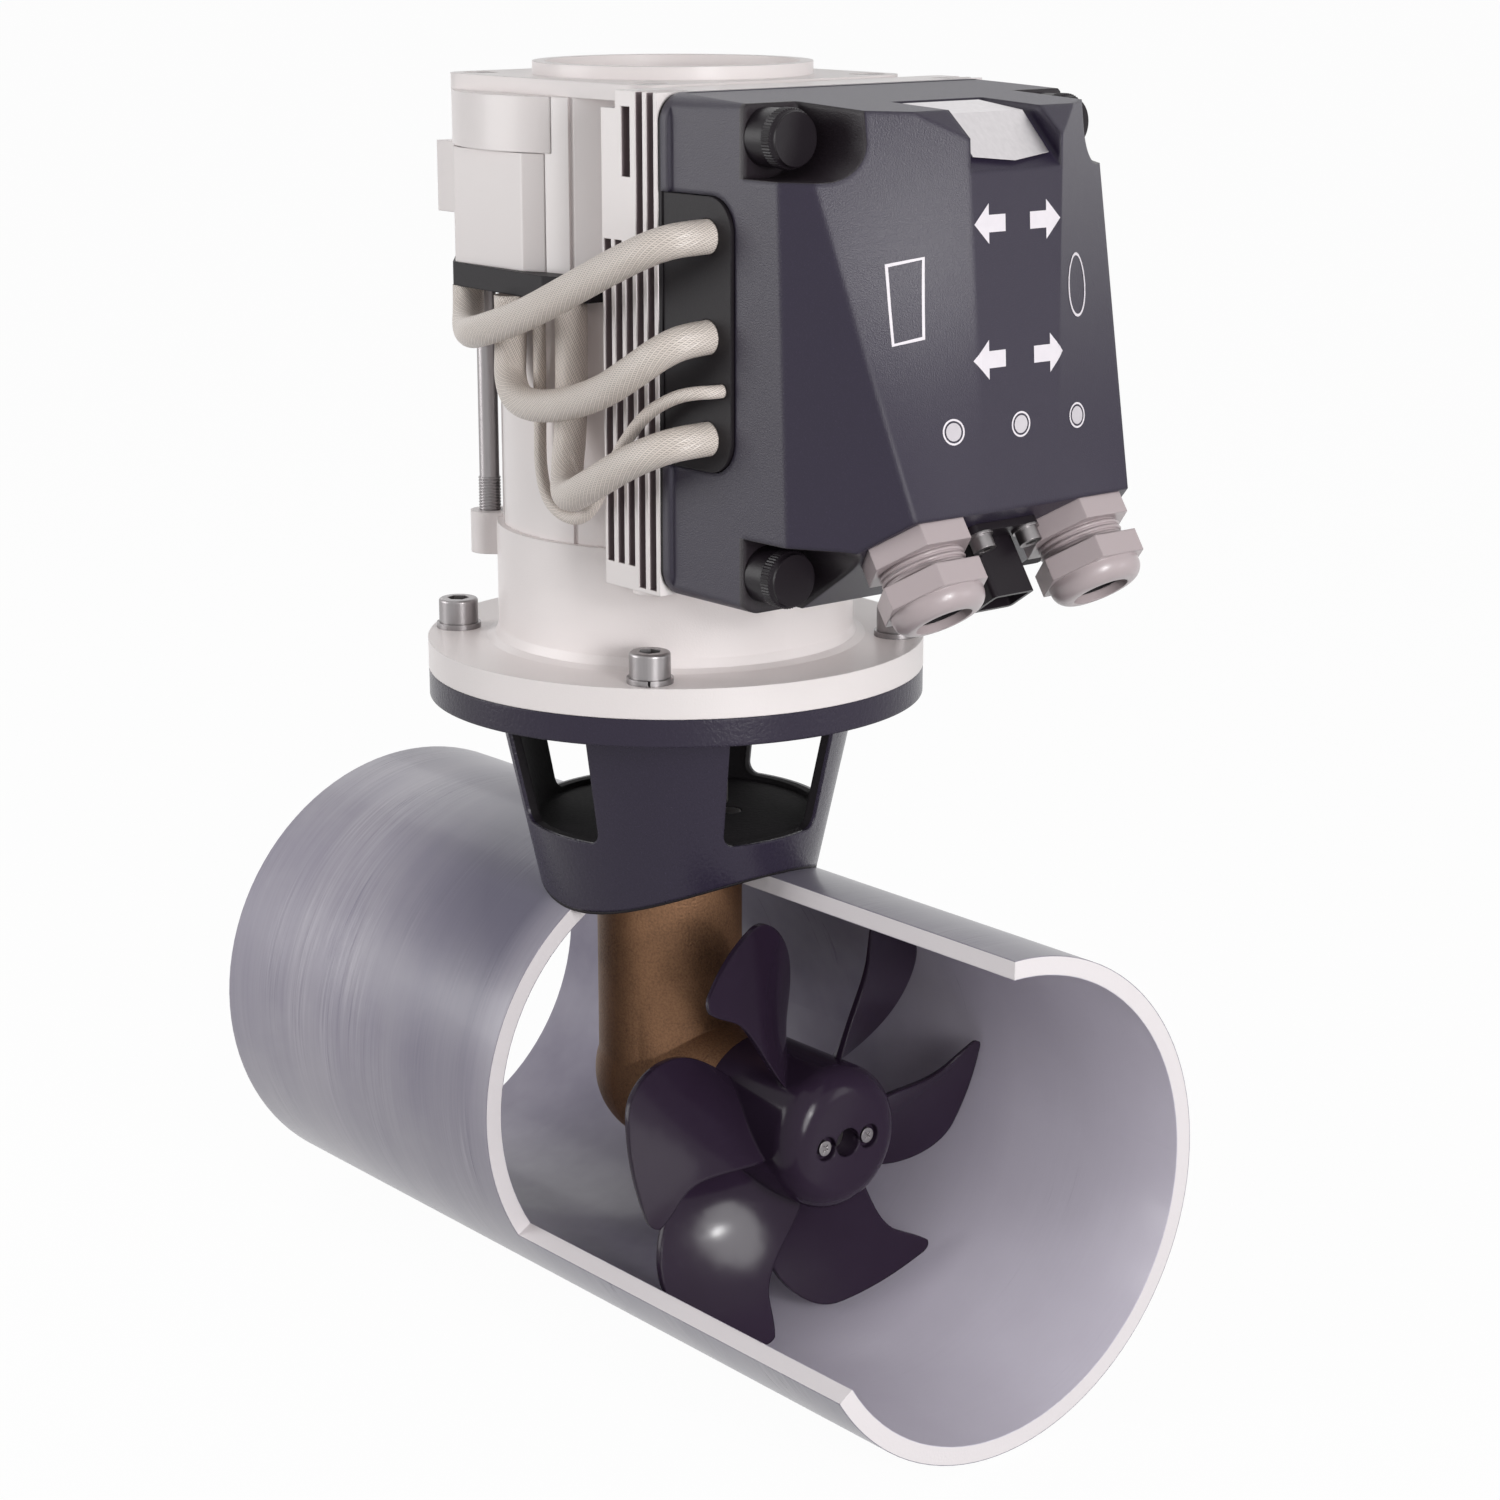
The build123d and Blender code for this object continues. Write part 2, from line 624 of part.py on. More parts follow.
with BuildPart() as spring_washers:
    with BuildSketch(level(flange_top)):
        with PolarLocations(flange_circle / 2, 4, start_angle=45):
            Circle(washer_r)
            Circle(screw_r + 0.2, mode=Mode.SUBTRACT)
            with Locations(((screw_r + washer_r) / 2, 0)):
                Rectangle(6, 0.9, rotation=20, mode=Mode.SUBTRACT)
    extrude(amount=washer_t)
save("spring_washers", spring_washers.part)

# Stator tube with shallow vertical grooves
with BuildPart() as stator_tube:
    with BuildSketch(level(base_top)):
        Circle(tube_r)
        Circle(tube_r - tube_wall, mode=Mode.SUBTRACT)
        for angle in (-119, -72, -28, 28, 72, 119, 152, 208):
            with Locations(Rotation(0, 0, angle)):
                with Locations((tube_r, 0)):
                    Rectangle(2, 2.2, mode=Mode.SUBTRACT)
    extrude(amount=cap_z - base_top)
save("stator_tube", stator_tube.part)

# Stator core, its coils, the rotor and its magnets
core_r = tube_r - tube_wall - 0.05
with BuildPart() as stator_core:
    ring(level(core_z), core_r, core_r - 7, core_length)
    with Locations(level(core_z)):
        with PolarLocations((core_r - 6 + core_bore_r) / 2, slots):
            Box(core_r - 6 - core_bore_r, tooth_width, core_length,
                align=(Align.CENTER, Align.CENTER, Align.MIN))
    disc(level(core_z - 1), core_bore_r, core_length + 2, Mode.SUBTRACT)
save("stator_core", stator_core.part)

with BuildPart() as stator_windings:
    with Locations(level(core_z + core_length / 2)):
        with PolarLocations(core_bore_r + 7.5, slots):
            Box(7, tooth_width + 2 * coil_t, core_length + 4 * coil_t)
    with Locations(level(core_z + core_length / 2)):
        with PolarLocations(core_bore_r + 7.5, slots):
            Box(9, tooth_width + 0.4, core_length + 0.4, mode=Mode.SUBTRACT)
save("stator_windings", stator_windings.part)

magnet_r = core_bore_r - air_gap
rotor_r = magnet_r - magnet_t
with BuildPart() as rotor_core:
    ring(level(core_z), rotor_r, motor_shaft_d / 2 + 2, core_length)
    with Locations(level(core_z)):
        with PolarLocations(rotor_r * 0.66, 6):
            Cylinder(5, core_length, align=(Align.CENTER, Align.CENTER, Align.MIN), mode=Mode.SUBTRACT)
save("rotor_core", rotor_core.part)

with BuildPart() as rotor_magnets:
    ring(level(core_z), magnet_r, rotor_r, core_length)
    with Locations(level(core_z - 1)):
        with PolarLocations(magnet_r, magnets):
            Box(3 * magnet_t, 3, core_length + 2, align=(Align.CENTER, Align.CENTER, Align.MIN),
                mode=Mode.SUBTRACT)
save("rotor_magnets", rotor_magnets.part)

with BuildPart() as motor_shaft:
    step_up = cup_floor - 16 + motor_lower_bearing[2]
    turned(Plane.XZ, ((0, upper_hub_z), (8, upper_hub_z), (8, cup_floor - 17),
                      (motor_shaft_d / 2 - shaft_clearance, cup_floor - 17),
                      (motor_shaft_d / 2 - shaft_clearance, step_up), (motor_shaft_d / 2 + 2, step_up),
                      (motor_shaft_d / 2 + 2, cap_hub_z + 1.8), (8.45, cap_hub_z + 1.8),
                      (8.45, cap_hub_z + 15), (0, cap_hub_z + 15)), Axis.Z)
save("motor_shaft", motor_shaft.part)

# Motor cap: square plate, round ring on top, bearing hub below, and the rounded lump over the terminals
with BuildPart() as motor_cap:
    with BuildSketch(level(cap_z)):
        RectangleRounded(2 * cap_half, 2 * cap_half, cap_corner)
    extrude(amount=cap_t)
    ring(level(cap_z), cap_ring_r, cap_ring_r - cap_ring_wall, cap_ring_top - cap_z)
    disc(level(cap_hub_z), cap_hub_r, cap_z - cap_hub_z + 1)
    disc(level(cap_hub_z - 1), motor_upper_bearing[1] / 2, motor_upper_bearing[2] + 3.2, Mode.SUBTRACT)
    disc(level(cap_hub_z - 1), 12, 20, Mode.SUBTRACT)
    ring(level(cap_z - 5), tube_r - tube_wall - 0.1, tube_r - tube_wall - 4, 5)
    with BuildSketch(level(lump_z + face_clearance)):
        with Locations((-20, -10)):
            Circle(lump_r)
        with Locations((0, 60)):
            Rectangle(300, 180, mode=Mode.SUBTRACT)
        with Locations((92, 0)):
            Rectangle(140, 300, mode=Mode.SUBTRACT)
        Circle(tube_r + 0.1, mode=Mode.SUBTRACT)
    extrude(amount=cap_z - lump_z - face_clearance)
    with Locations(level(cap_z + cap_t)):
        with GridLocations(2 * lug_half, 2 * lug_half, 2, 2):
            CounterBoreHole(rod_r + 0.25, 7, 3.6, depth=40)
save("motor_cap", motor_cap.part)

# Tie rods from the cap's plate into the lugs
with BuildPart() as tie_rods:
    rod_bottom = lug_top - 14
    with Locations(level(cap_z + cap_t - 3.6)):
        with GridLocations(2 * lug_half, 2 * lug_half, 2, 2):
            Cylinder(6.4, 3.2, align=(Align.CENTER, Align.CENTER, Align.MIN))
            Cylinder(rod_r, cap_z + cap_t - 3.6 - rod_bottom, align=(Align.CENTER, Align.CENTER, Align.MAX))
save("tie_rods", tie_rods.part)

# Terminal housing: a black band under a white cover with a side block
rod_spot = (-lug_half, -lug_half)
with BuildPart() as terminal_cover:
    block(level(terminal_z), terminal_outline, lump_z - terminal_z, corner=2.5)
    with Locations(side_block_at):
        Box(*side_block, align=(Align.CENTER, Align.CENTER, Align.MIN))
    disc(level(terminal_z - 1), tube_r + 0.1, 100, Mode.SUBTRACT)
    with BuildSketch(level(terminal_z - 1)) as gap:
        with Locations(rod_spot):
            Circle(rod_r + face_clearance)
        with Locations((0, 165)):
            Rectangle(300, 300, mode=Mode.ADD)
    extrude(gap.sketch, amount=100, mode=Mode.SUBTRACT)
save("terminal_cover", terminal_cover.part)

with BuildPart() as terminal_band:
    with BuildSketch(level(band_z)) as band:
        with BuildLine():
            Polyline((-45, terminal_front - 1.3), (18, terminal_front - 4.6), (38, terminal_front + 2),
                     (38, -40), (-40, -15), (-74, -15), (-77.5, -42), (-63, terminal_front + 12.5),
                     close=True)
        make_face()
        fillet(band.vertices().sort_by(Axis.Y)[:5], 3)
        Circle(tube_r + 0.1, mode=Mode.SUBTRACT)
        with Locations(rod_spot):
            Circle(rod_r + face_clearance, mode=Mode.SUBTRACT)
        with Locations((0, 135)):
            Rectangle(300, 300, mode=Mode.SUBTRACT)
    extrude(amount=terminal_z - band_z)
save("terminal_band", terminal_band.part)

# Leads
for number, route in enumerate(lead_routes, start=1):
    with BuildPart() as lead:
        lead_tube(route, lead_r)
    save(f"power_lead_{number}", lead.part)
with BuildPart() as signal_lead:
    lead_tube(signal_route, signal_r)
save("signal_lead", signal_lead.part)

# Heat sink: hugs the tube, with vertical grooves open to both sides
with BuildPart() as heat_sink:
    block(level(sink_bottom), ((sink_rear, -sink_half), (sink_front, -sink_half), (sink_front, sink_half),
                               (sink_rear, sink_half)), sink_top - sink_bottom)
    disc(level(sink_bottom - 1), tube_r + 0.1, 200, Mode.SUBTRACT)
    disc(level(sink_bottom - 1), base_r + face_clearance, base_top - sink_bottom + 1.3, Mode.SUBTRACT)
    for side in (-1, 1):
        with BuildSketch(level(sink_bottom - 1)) as lug_room:
            with Locations((lug_half, side * lug_half)):
                Circle(lug_r + face_clearance)
            with Locations((lug_half - 10, side * lug_half)):
                Rectangle(20, 2 * lug_r + 2 * face_clearance)
        extrude(lug_room.sketch, amount=lug_top - sink_bottom + 1.3, mode=Mode.SUBTRACT)
        for groove in range(5):
            groove_from = first_fin + groove * fin_pitch + fin_t
            low = 240.0 if groove < 3 else 232.5
            high = sink_block_z if groove < 3 else sink_top + 1
            with Locations((groove_from, side * sink_half, low)):
                Box(fin_pitch - fin_t, 2 * groove_depth, high - low,
                    align=(Align.MIN, Align.CENTER, Align.MIN), mode=Mode.SUBTRACT)
        with Locations((first_fin + 2 * fin_pitch, side * sink_half, 383)):
            Box(fin_pitch - fin_t + 1, 20, 25, align=(Align.MIN, Align.CENTER, Align.MIN), mode=Mode.SUBTRACT)
    with Locations(((0, 0, cap_z - 1.2))):
        Box(2 * (cap_half + 1), 200, 30, align=(Align.CENTER, Align.CENTER, Align.MIN), mode=Mode.SUBTRACT)
    with Locations(across(sink_front)):
        with Locations((0, (knob_z[0] + knob_z[1]) / 2)):
            with GridLocations(2 * board_half - 12, 130, 2, 2):
                Cylinder(3.5, board_x - sink_front, align=(Align.CENTER, Align.CENTER, Align.MIN))
            with GridLocations(2 * knob_y, knob_z[0] - knob_z[1], 2, 2):
                Cylinder(knob_stud_r + 0.1, 10, align=(Align.CENTER, Align.CENTER, Align.MAX),
                         mode=Mode.SUBTRACT)
save("heat_sink", heat_sink.part)

# Cover gasket
sink_middle_z = (sink_bottom + sink_top) / 2
sink_height = sink_top - sink_bottom
rim_x = sink_front + 2.0
with BuildPart() as cover_gasket:
    with BuildSketch(across(sink_front)):
        with Locations((0, sink_middle_z)):
            RectangleRounded(2 * sink_half - 1, sink_height - 1, rim_corner)
            RectangleRounded(2 * (sink_half - gasket_width), sink_height - 2 * gasket_width, rim_corner - 4,
                             mode=Mode.SUBTRACT)
    extrude(amount=rim_x - sink_front - 0.1)
save("cover_gasket", cover_gasket.part)

# Controller board with its capacitors and bus bars, standing on the heat sink's posts
with BuildPart() as control_board:
    with BuildSketch(across(board_x)):
        with Locations((0, (knob_z[0] + knob_z[1]) / 2)):
            RectangleRounded(2 * board_half, 150, 4)
    extrude(amount=board_t)
save("control_board", control_board.part)

with BuildPart() as capacitors:
    with Locations(across(board_x + board_t)):
        with Locations((10, 350)):
            with GridLocations(26, 30, 2, 2):
                Cylinder(11, 28, align=(Align.CENTER, Align.CENTER, Align.MIN))
save("capacitors", capacitors.part)

with BuildPart() as busbars:
    board_front = board_x + board_t
    for route in lead_routes:
        bar_z = route[-1][2]
        block(level(bar_z - 5), ((board_front, -34), (board_front + 3, -34), (board_front + 3, -44),
                                 (119.5, -53), (119.5, -70.1), (116.5, -70.1), (116.5, -55),
                                 (board_front, -46.5)), 10)
save("busbars", busbars.part)

# Cable grommet in the side notch of the cover
grommet_middle_z = sum(grommet_z) / 2
grommet_height = grommet_z[1] - grommet_z[0]
with BuildPart() as cable_grommet:
    with BuildSketch(Plane.XZ.offset(64)) as grommet_face:
        with Locations(((grommet_x[0] + grommet_x[1]) / 2, grommet_middle_z)):
            Rectangle(grommet_x[1] - grommet_x[0], grommet_height)
        fillet(grommet_face.vertices().group_by(Axis.X)[-1], 12)
        for route in lead_routes:
            with Locations((route[-1][0], route[-1][2])):
                Circle(lead_r + 0.1, mode=Mode.SUBTRACT)
        with Locations((signal_route[-1][0], signal_route[-1][2])):
            Circle(signal_r + 0.1, mode=Mode.SUBTRACT)
    extrude(amount=grommet_face_y - 64)
save("cable_grommet", cable_grommet.part)

# Controller cover: plan outlines at two heights joined by ruled faces, cut to the side view
cover_side_view = ((rim_x, sink_bottom), slant_start, (slant_start[0] + 2 * (slant_end[0] - slant_start[0]),
                                                       slant_start[1] + 2 * (slant_end[1] - slant_start[1])),
                   (256, 347), cover_top_edge, (rim_x, sink_top))


def plan_outline(z, inset):
    """Outline of the cover at one height, moved inwards by the inset."""
    share = (z - cover_plan_low[0]) / (cover_plan_high[0] - cover_plan_low[0])
    moves = ((-1.0, -1.0), (-0.3, -1.0), (-0.85, -0.75), (-1.0, -0.2))
    half = []
    for low, high, move in zip(cover_plan_low[1], cover_plan_high[1], moves):
        half.append((low[0] + share * (high[0] - low[0]) + inset * move[0],
                     low[1] + share * (high[1] - low[1]) + inset * move[1]))
    return half + [(x, -y) for x, y in reversed(half)]


def cover_body(inset):
    with BuildPart(mode=Mode.PRIVATE) as body:
        for z in (sink_bottom - 6, sink_top + 6):
            with BuildSketch(level(z)):
                Polygon(*plan_outline(z, inset), align=None)
        loft(ruled=True)
    return body.part


def knob_pocket(y, z, r, start, mode):
    """A round pocket on the knob's axis that runs out to the cover's outer corner."""
    side_y = 1 if y > 0 else -1
    side_z = 1 if z > 300 else -1
    with BuildSketch(across(start)) as face:
        with Locations((y, z)):
            Circle(r)
        with Locations((y + side_y * 20, z)):
            Rectangle(40, 2 * r)
        with Locations((y, z + side_z * 20)):
            Rectangle(2 * r, 40)
    extrude(face.sketch, amount=120, mode=mode)


def badge_recess(inset, mode):
    """Room for the badge, from the top over the front edge, down to its floor less the inset."""
    floor = [(x - inset, z - inset) for x, z in badge_floor]
    block(Plane.XZ, floor + [(220, floor[-1][1]), (220, 440), (floor[0][0], 440)], badge_room_half + inset,
          both=True, mode=mode)


pocket_floor = knob_front - knob_t
with BuildPart() as cover_inside:
    inside_view = ((rim_x - 1, sink_bottom + cover_wall), (slant_start[0] - 1, sink_bottom + cover_wall),
                   (slant_start[0] - 1 + 2 * (slant_end[0] - slant_start[0]),
                    sink_bottom + cover_wall + 2 * (slant_end[1] - slant_start[1])),
                   (256, 343), (cover_top_edge[0] - 1.4, cover_top_edge[1] - cover_wall),
                   (rim_x - 1, sink_top - cover_wall))
    block(Plane.XZ, inside_view, cover_half - cover_wall, both=True)
    add(cover_body(cover_wall), mode=Mode.INTERSECT)
    badge_recess(cover_wall, Mode.SUBTRACT)
    for side in (-1, 1):
        for z in knob_z:
            disc(across(rim_x - 2).shift_origin((rim_x - 2, side * knob_y, z)), 8.5, 60, Mode.SUBTRACT)
            knob_pocket(side * knob_y, z, recess_r + cover_wall, pocket_floor - cover_wall, Mode.SUBTRACT)

with BuildPart() as controller_cover:
    block(Plane.XZ, cover_side_view, cover_half, both=True)
    add(cover_body(0), mode=Mode.INTERSECT)
    for side in (-1, 1):
        for z in knob_z:
            knob_pocket(side * knob_y, z, recess_r, pocket_floor, Mode.SUBTRACT)
    badge_recess(0, Mode.SUBTRACT)
    with BuildSketch(across(rim_x)):
        with Locations((0, sink_middle_z)):
            RectangleRounded(2 * cover_half, sink_height, rim_corner)
    extrude(amount=rim_t)
    with BuildSketch(across(rim_x)):
        with Locations((0, sink_middle_z)):
            RectangleRounded(2 * cover_half, sink_height, rim_corner)
    extrude(amount=130, mode=Mode.INTERSECT)
    add(cover_inside.part, mode=Mode.SUBTRACT)
    for side in (-1, 1):
        for z in knob_z:
            disc(across(rim_x - 1).shift_origin((rim_x - 1, side * knob_y, z)), knob_stud_r + 0.3, 60,
                 Mode.SUBTRACT)
        disc(on_slant(gland_x, side * gland_y, -20), gland_neck_r + 0.5, 30, Mode.SUBTRACT)
    with BuildSketch(Plane.XZ.offset(60)) as notch:
        with Locations(((grommet_x[1] + face_clearance) / 2, grommet_middle_z)):
            Rectangle(grommet_x[1] + face_clearance, grommet_height + 2 * face_clearance)
        fillet(notch.vertices().group_by(Axis.X)[-1], 12)
    extrude(notch.sketch, amount=40, mode=Mode.SUBTRACT)
save("controller_cover", controller_cover.part)

# Silver badge plate folded over the top edge in its recess, left bare
with BuildPart() as badge_plate:
    room_start, fold, front_end = badge_floor
    back_x = room_start[0] + 2
    back_z = room_start[1] + 2 * (fold[1] - room_start[1]) / (fold[0] - room_start[0])
    block(Plane.XZ, ((back_x, back_z), fold, front_end,
                     (front_end[0] + badge_t * 0.7, front_end[1] + badge_t * 0.7),
                     (fold[0] + badge_t * 0.5, fold[1] + badge_t), (back_x, back_z + badge_t)),
          badge_half, both=True)
    with BuildSketch(across(140)) as shield:
        Polygon((-badge_half, 430), (-badge_half, 393.8), (0, 391.9), (badge_half, 393.8), (badge_half, 430),
                align=None)
    extrude(shield.sketch, amount=80, mode=Mode.INTERSECT)
save("badge_plate", badge_plate.part)

# Knurled knobs with their studs
knob_names = {(-1, 0): "knob_lower_near", (-1, 1): "knob_upper_near", (1, 0): "knob_lower_far",
              (1, 1): "knob_upper_far"}
for (side, row), name in knob_names.items():
    z = knob_z[1 - row]
    with BuildPart() as knob:
        head_x = pocket_floor + face_clearance
        head = across(head_x).shift_origin((head_x, side * knob_y, z))
        with BuildSketch(head) as grip:
            Circle(knob_r)
            with PolarLocations(knob_r + 0.5, 18):
                Circle(1.0, mode=Mode.SUBTRACT)
        extrude(grip.sketch, amount=knob_t - 2 - face_clearance)
        disc(head.offset(knob_t - 2 - face_clearance), knob_r - 0.8, 2)
        disc(across(sink_front - 7).shift_origin((sink_front - 7, side * knob_y, z)), knob_stud_r,
             pocket_floor - sink_front + 8)
    save(name, knob.part)

# Cable glands: bodies, seals and cap nuts
with BuildPart() as gland_bodies:
    for side in (-1, 1):
        with BuildSketch(on_slant(gland_x, side * gland_y)) as hexagon:
            RegularPolygon(gland_flats / 2, 6, major_radius=False)
        extrude(hexagon.sketch, amount=gland_flange_t)
        disc(on_slant(gland_x, side * gland_y, -12), gland_neck_r, 12 + gland_neck_end)
        disc(on_slant(gland_x, side * gland_y, -13), 11.5, 60, Mode.SUBTRACT)
save("gland_bodies", gland_bodies.part)

with BuildPart() as gland_seals:
    for side in (-1, 1):
        ring(on_slant(gland_x, side * gland_y, gland_neck_end), gland_neck_r - 0.3, seal_bore_r,
             seal_end - gland_neck_end)
save("gland_seals", gland_seals.part)

for side, name in ((-1, "gland_nut_near"), (1, "gland_nut_far")):
    with BuildPart() as gland_nut:
        nut_plane = on_slant(gland_x, side * gland_y, gland_nut_start)
        nut_length = gland_nut_end - gland_nut_start
        with BuildSketch(nut_plane) as hexagon:
            RegularPolygon(gland_flats / 2, 6, major_radius=False)
        extrude(hexagon.sketch, amount=gland_hexagon_h)
        disc(nut_plane, gland_dome_r, nut_length)
        round_edges = gland_nut.edges().filter_by(GeomType.CIRCLE)
        fillet(round_edges.sort_by(lambda edge: edge.center().dot(slant))[-1], gland_dome_round)
        disc(nut_plane.offset(-1), gland_neck_r + face_clearance, seal_end - gland_nut_start + 1,
             Mode.SUBTRACT)
        disc(nut_plane.offset(-1), gland_hole_r, nut_length + 2, Mode.SUBTRACT)
    save(name, gland_nut.part)

# Connector socket between the glands and its two screws
connector_x = 176.0
with BuildPart() as connector_socket:
    base = on_slant(connector_x)
    with BuildSketch(base) as plate:
        with Locations((0, 4)):
            RectangleRounded(34, 26, 4)
    extrude(plate.sketch, amount=3)
    with BuildSketch(base) as shroud:
        RectangleRounded(20, 15, 2)
    extrude(shroud.sketch, amount=25)
    with BuildSketch(base.offset(25)) as mouth:
        RectangleRounded(16.4, 11.4, 1)
    extrude(mouth.sketch, amount=-18, mode=Mode.SUBTRACT)
    with Locations(base.offset(3)):
        with Locations((-11.5, 13), (11.5, 13)):
            Hole(2.7, depth=3)
save("connector_socket", connector_socket.part)

with BuildPart() as connector_screws:
    for side in (-1, 1):
        spot = on_slant(connector_x + 13 * 0.829, side * 11.5, 3)
        ring(spot, 5.2, 2.6, 1)
        disc(spot.offset(1), 4.25, 5)
        disc(spot.offset(-2.9), 2.5, 4)
        with BuildSketch(spot.offset(6)) as socket:
            RegularPolygon(2, 6, major_radius=False)
        extrude(socket.sketch, amount=-2.5, mode=Mode.SUBTRACT)
save("connector_screws", connector_screws.part)

# Propeller: one blade is a twisted sheet cut to its outline as seen from the front, six times round a hub
blade_span = 56.0
blade_mid = blade_corner_angle - 26.0
mid_x = blade_corner_x - blade_rise * 26.0


def polar(r, angle):
    a = radians(blade_corner_angle + angle)
    return (r * cos(a), r * sin(a))


with BuildPart() as blade:
    for r in (20.0, 45.0, 70.0, 96.0):
        out = Vector(0, cos(radians(blade_mid)), sin(radians(blade_mid)))
        around = Vector(0, -sin(radians(blade_mid)), cos(radians(blade_mid)))
        half_s = r * tan(radians(blade_span / 2))
        half_x = blade_rise * blade_span / 2
        tilt = degrees(atan(half_x / half_s))
        half_chord = hypot(half_s, half_x)
        thick = blade_t * (1.25 - 0.65 * r / propeller_r)
        chord_dir = around * cos(radians(tilt)) + Vector(1, 0, 0) * sin(radians(tilt))
        with BuildSketch(Plane(origin=Vector(mid_x, 0, 0) + out * r, x_dir=chord_dir, z_dir=out)) as lens:
            with BuildLine():
                ThreePointArc((-half_chord, 0.5), (0, thick / 2), (half_chord, 0.5))
                Line((half_chord, 0.5), (half_chord, -0.5))
                ThreePointArc((half_chord, -0.5), (0, -thick / 2), (-half_chord, -0.5))
                Line((-half_chord, -0.5), (-half_chord, 0.5))
            make_face()
    loft()
    with BuildSketch(across(0)) as outline:
        with BuildLine():
            trailing = Spline(polar(26, -4), polar(41, -4.6), polar(56, -6.6), polar(68, -5.6),
                              polar(79, -1.8), polar(86, -0.2))
            corner = Spline(trailing @ 1, polar(88.8, -1.2), polar(89.9, -4.5))
            tip = RadiusArc(corner @ 1, polar(89.8, -27), propeller_r)
            leading = Spline(tip @ 1, polar(88, -32.5), polar(81, -38.8), polar(68, -46), polar(50, -51.6),
                             polar(26, -54))
            Line(leading @ 1, trailing @ 0)
        make_face()
    extrude(outline.sketch, amount=140, mode=Mode.INTERSECT)

with BuildPart() as propeller:
    with BuildSketch(Plane.XZ) as hub_half:
        with BuildLine():
            Polyline((hub_front, hub_r - hub_round), (hub_front, 0), (hub_rear, 0), (hub_rear, hub_r - 1),
                     (hub_rear + 1, hub_r), (hub_front - hub_round, hub_r))
            ThreePointArc((hub_front - hub_round, hub_r),
                          (hub_front - hub_round * (1 - sqrt(0.5)), hub_r - hub_round * (1 - sqrt(0.5))),
                          (hub_front, hub_r - hub_round))
        make_face()
    revolve(hub_half.sketch, axis=Axis.X)
    for turn in range(blades):
        add(blade.part.rotate(Axis.X, 360 / blades * turn))
    disc(across(hub_rear - 1), drive_hub_r + 0.1, drive_hub_x[1] - hub_rear + 1.1, Mode.SUBTRACT)
    disc(across(hub_rear), shaft_d / 2, 80, Mode.SUBTRACT)
    for side in (-1, 1):
        disc(across(hub_front - 3).shift_origin((hub_front - 3, side * propeller_screw_y, 0)), 5.0, 10,
             Mode.SUBTRACT)
        disc(across(90).shift_origin((90, side * propeller_screw_y, 0)), 2.1, 30, Mode.SUBTRACT)
save("propeller", propeller.part)

with BuildPart() as propeller_hub:
    disc(across(drive_hub_x[0]), drive_hub_r, drive_hub_x[1] - drive_hub_x[0])
    disc(across(drive_hub_x[0] - 1), shaft_d / 2, 60, Mode.SUBTRACT)
    disc(level(-20).shift_origin((drive_hub_middle, 0, -20)), 2.5 + shaft_clearance, 40, Mode.SUBTRACT)
    for side in (-1, 1):
        hole_x = drive_hub_x[1] - 12
        disc(across(hole_x).shift_origin((hole_x, side * propeller_screw_y, 0)), 2.05, 20, Mode.SUBTRACT)
save("propeller_hub", propeller_hub.part)

with BuildPart() as drive_pin:
    disc(level(-17).shift_origin((drive_hub_middle, 0, -17)), 2.5, 34)
save("drive_pin", drive_pin.part)

with BuildPart() as propeller_screws:
    for side in (-1, 1):
        screw_x = drive_hub_x[1] - 11
        disc(across(screw_x).shift_origin((screw_x, side * propeller_screw_y, 0)), 2.0, 21)
        with Locations(across(hub_front - 3).shift_origin((hub_front - 3, side * propeller_screw_y, 0))):
            Cylinder(3.1, 2.2, align=(Align.CENTER, Align.CENTER, Align.MIN))
            for angle in (0, 90):
                with Locations((0, 0, 2.2)):
                    Box(3.4, 0.8, 1.4, rotation=(0, 0, 45 + angle), mode=Mode.SUBTRACT)
save("propeller_screws", propeller_screws.part)
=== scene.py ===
import math

import bmesh
import bpy
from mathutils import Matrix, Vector


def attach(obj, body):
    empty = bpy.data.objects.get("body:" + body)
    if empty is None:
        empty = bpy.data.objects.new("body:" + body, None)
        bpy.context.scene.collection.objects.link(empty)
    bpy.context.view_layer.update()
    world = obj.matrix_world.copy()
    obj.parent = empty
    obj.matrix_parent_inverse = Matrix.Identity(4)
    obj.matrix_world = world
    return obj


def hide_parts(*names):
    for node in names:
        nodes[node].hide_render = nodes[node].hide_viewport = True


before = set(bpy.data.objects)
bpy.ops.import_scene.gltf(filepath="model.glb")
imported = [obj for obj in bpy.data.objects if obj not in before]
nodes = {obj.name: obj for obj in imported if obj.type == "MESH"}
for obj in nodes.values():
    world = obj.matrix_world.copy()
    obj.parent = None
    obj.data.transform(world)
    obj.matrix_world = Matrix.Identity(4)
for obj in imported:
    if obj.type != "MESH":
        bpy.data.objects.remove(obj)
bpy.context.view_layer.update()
mm = 0.001
print("frame loaded:", len(nodes), "nodes")


def tone(red, green, blue):  # a colour as it looks on screen, made linear for the shader
    def lift(c):
        c = c / 255
        return c / 12.92 if c <= 0.04045 else ((c + 0.055) / 1.055) ** 2.4
    return (lift(red), lift(green), lift(blue), 1.0)


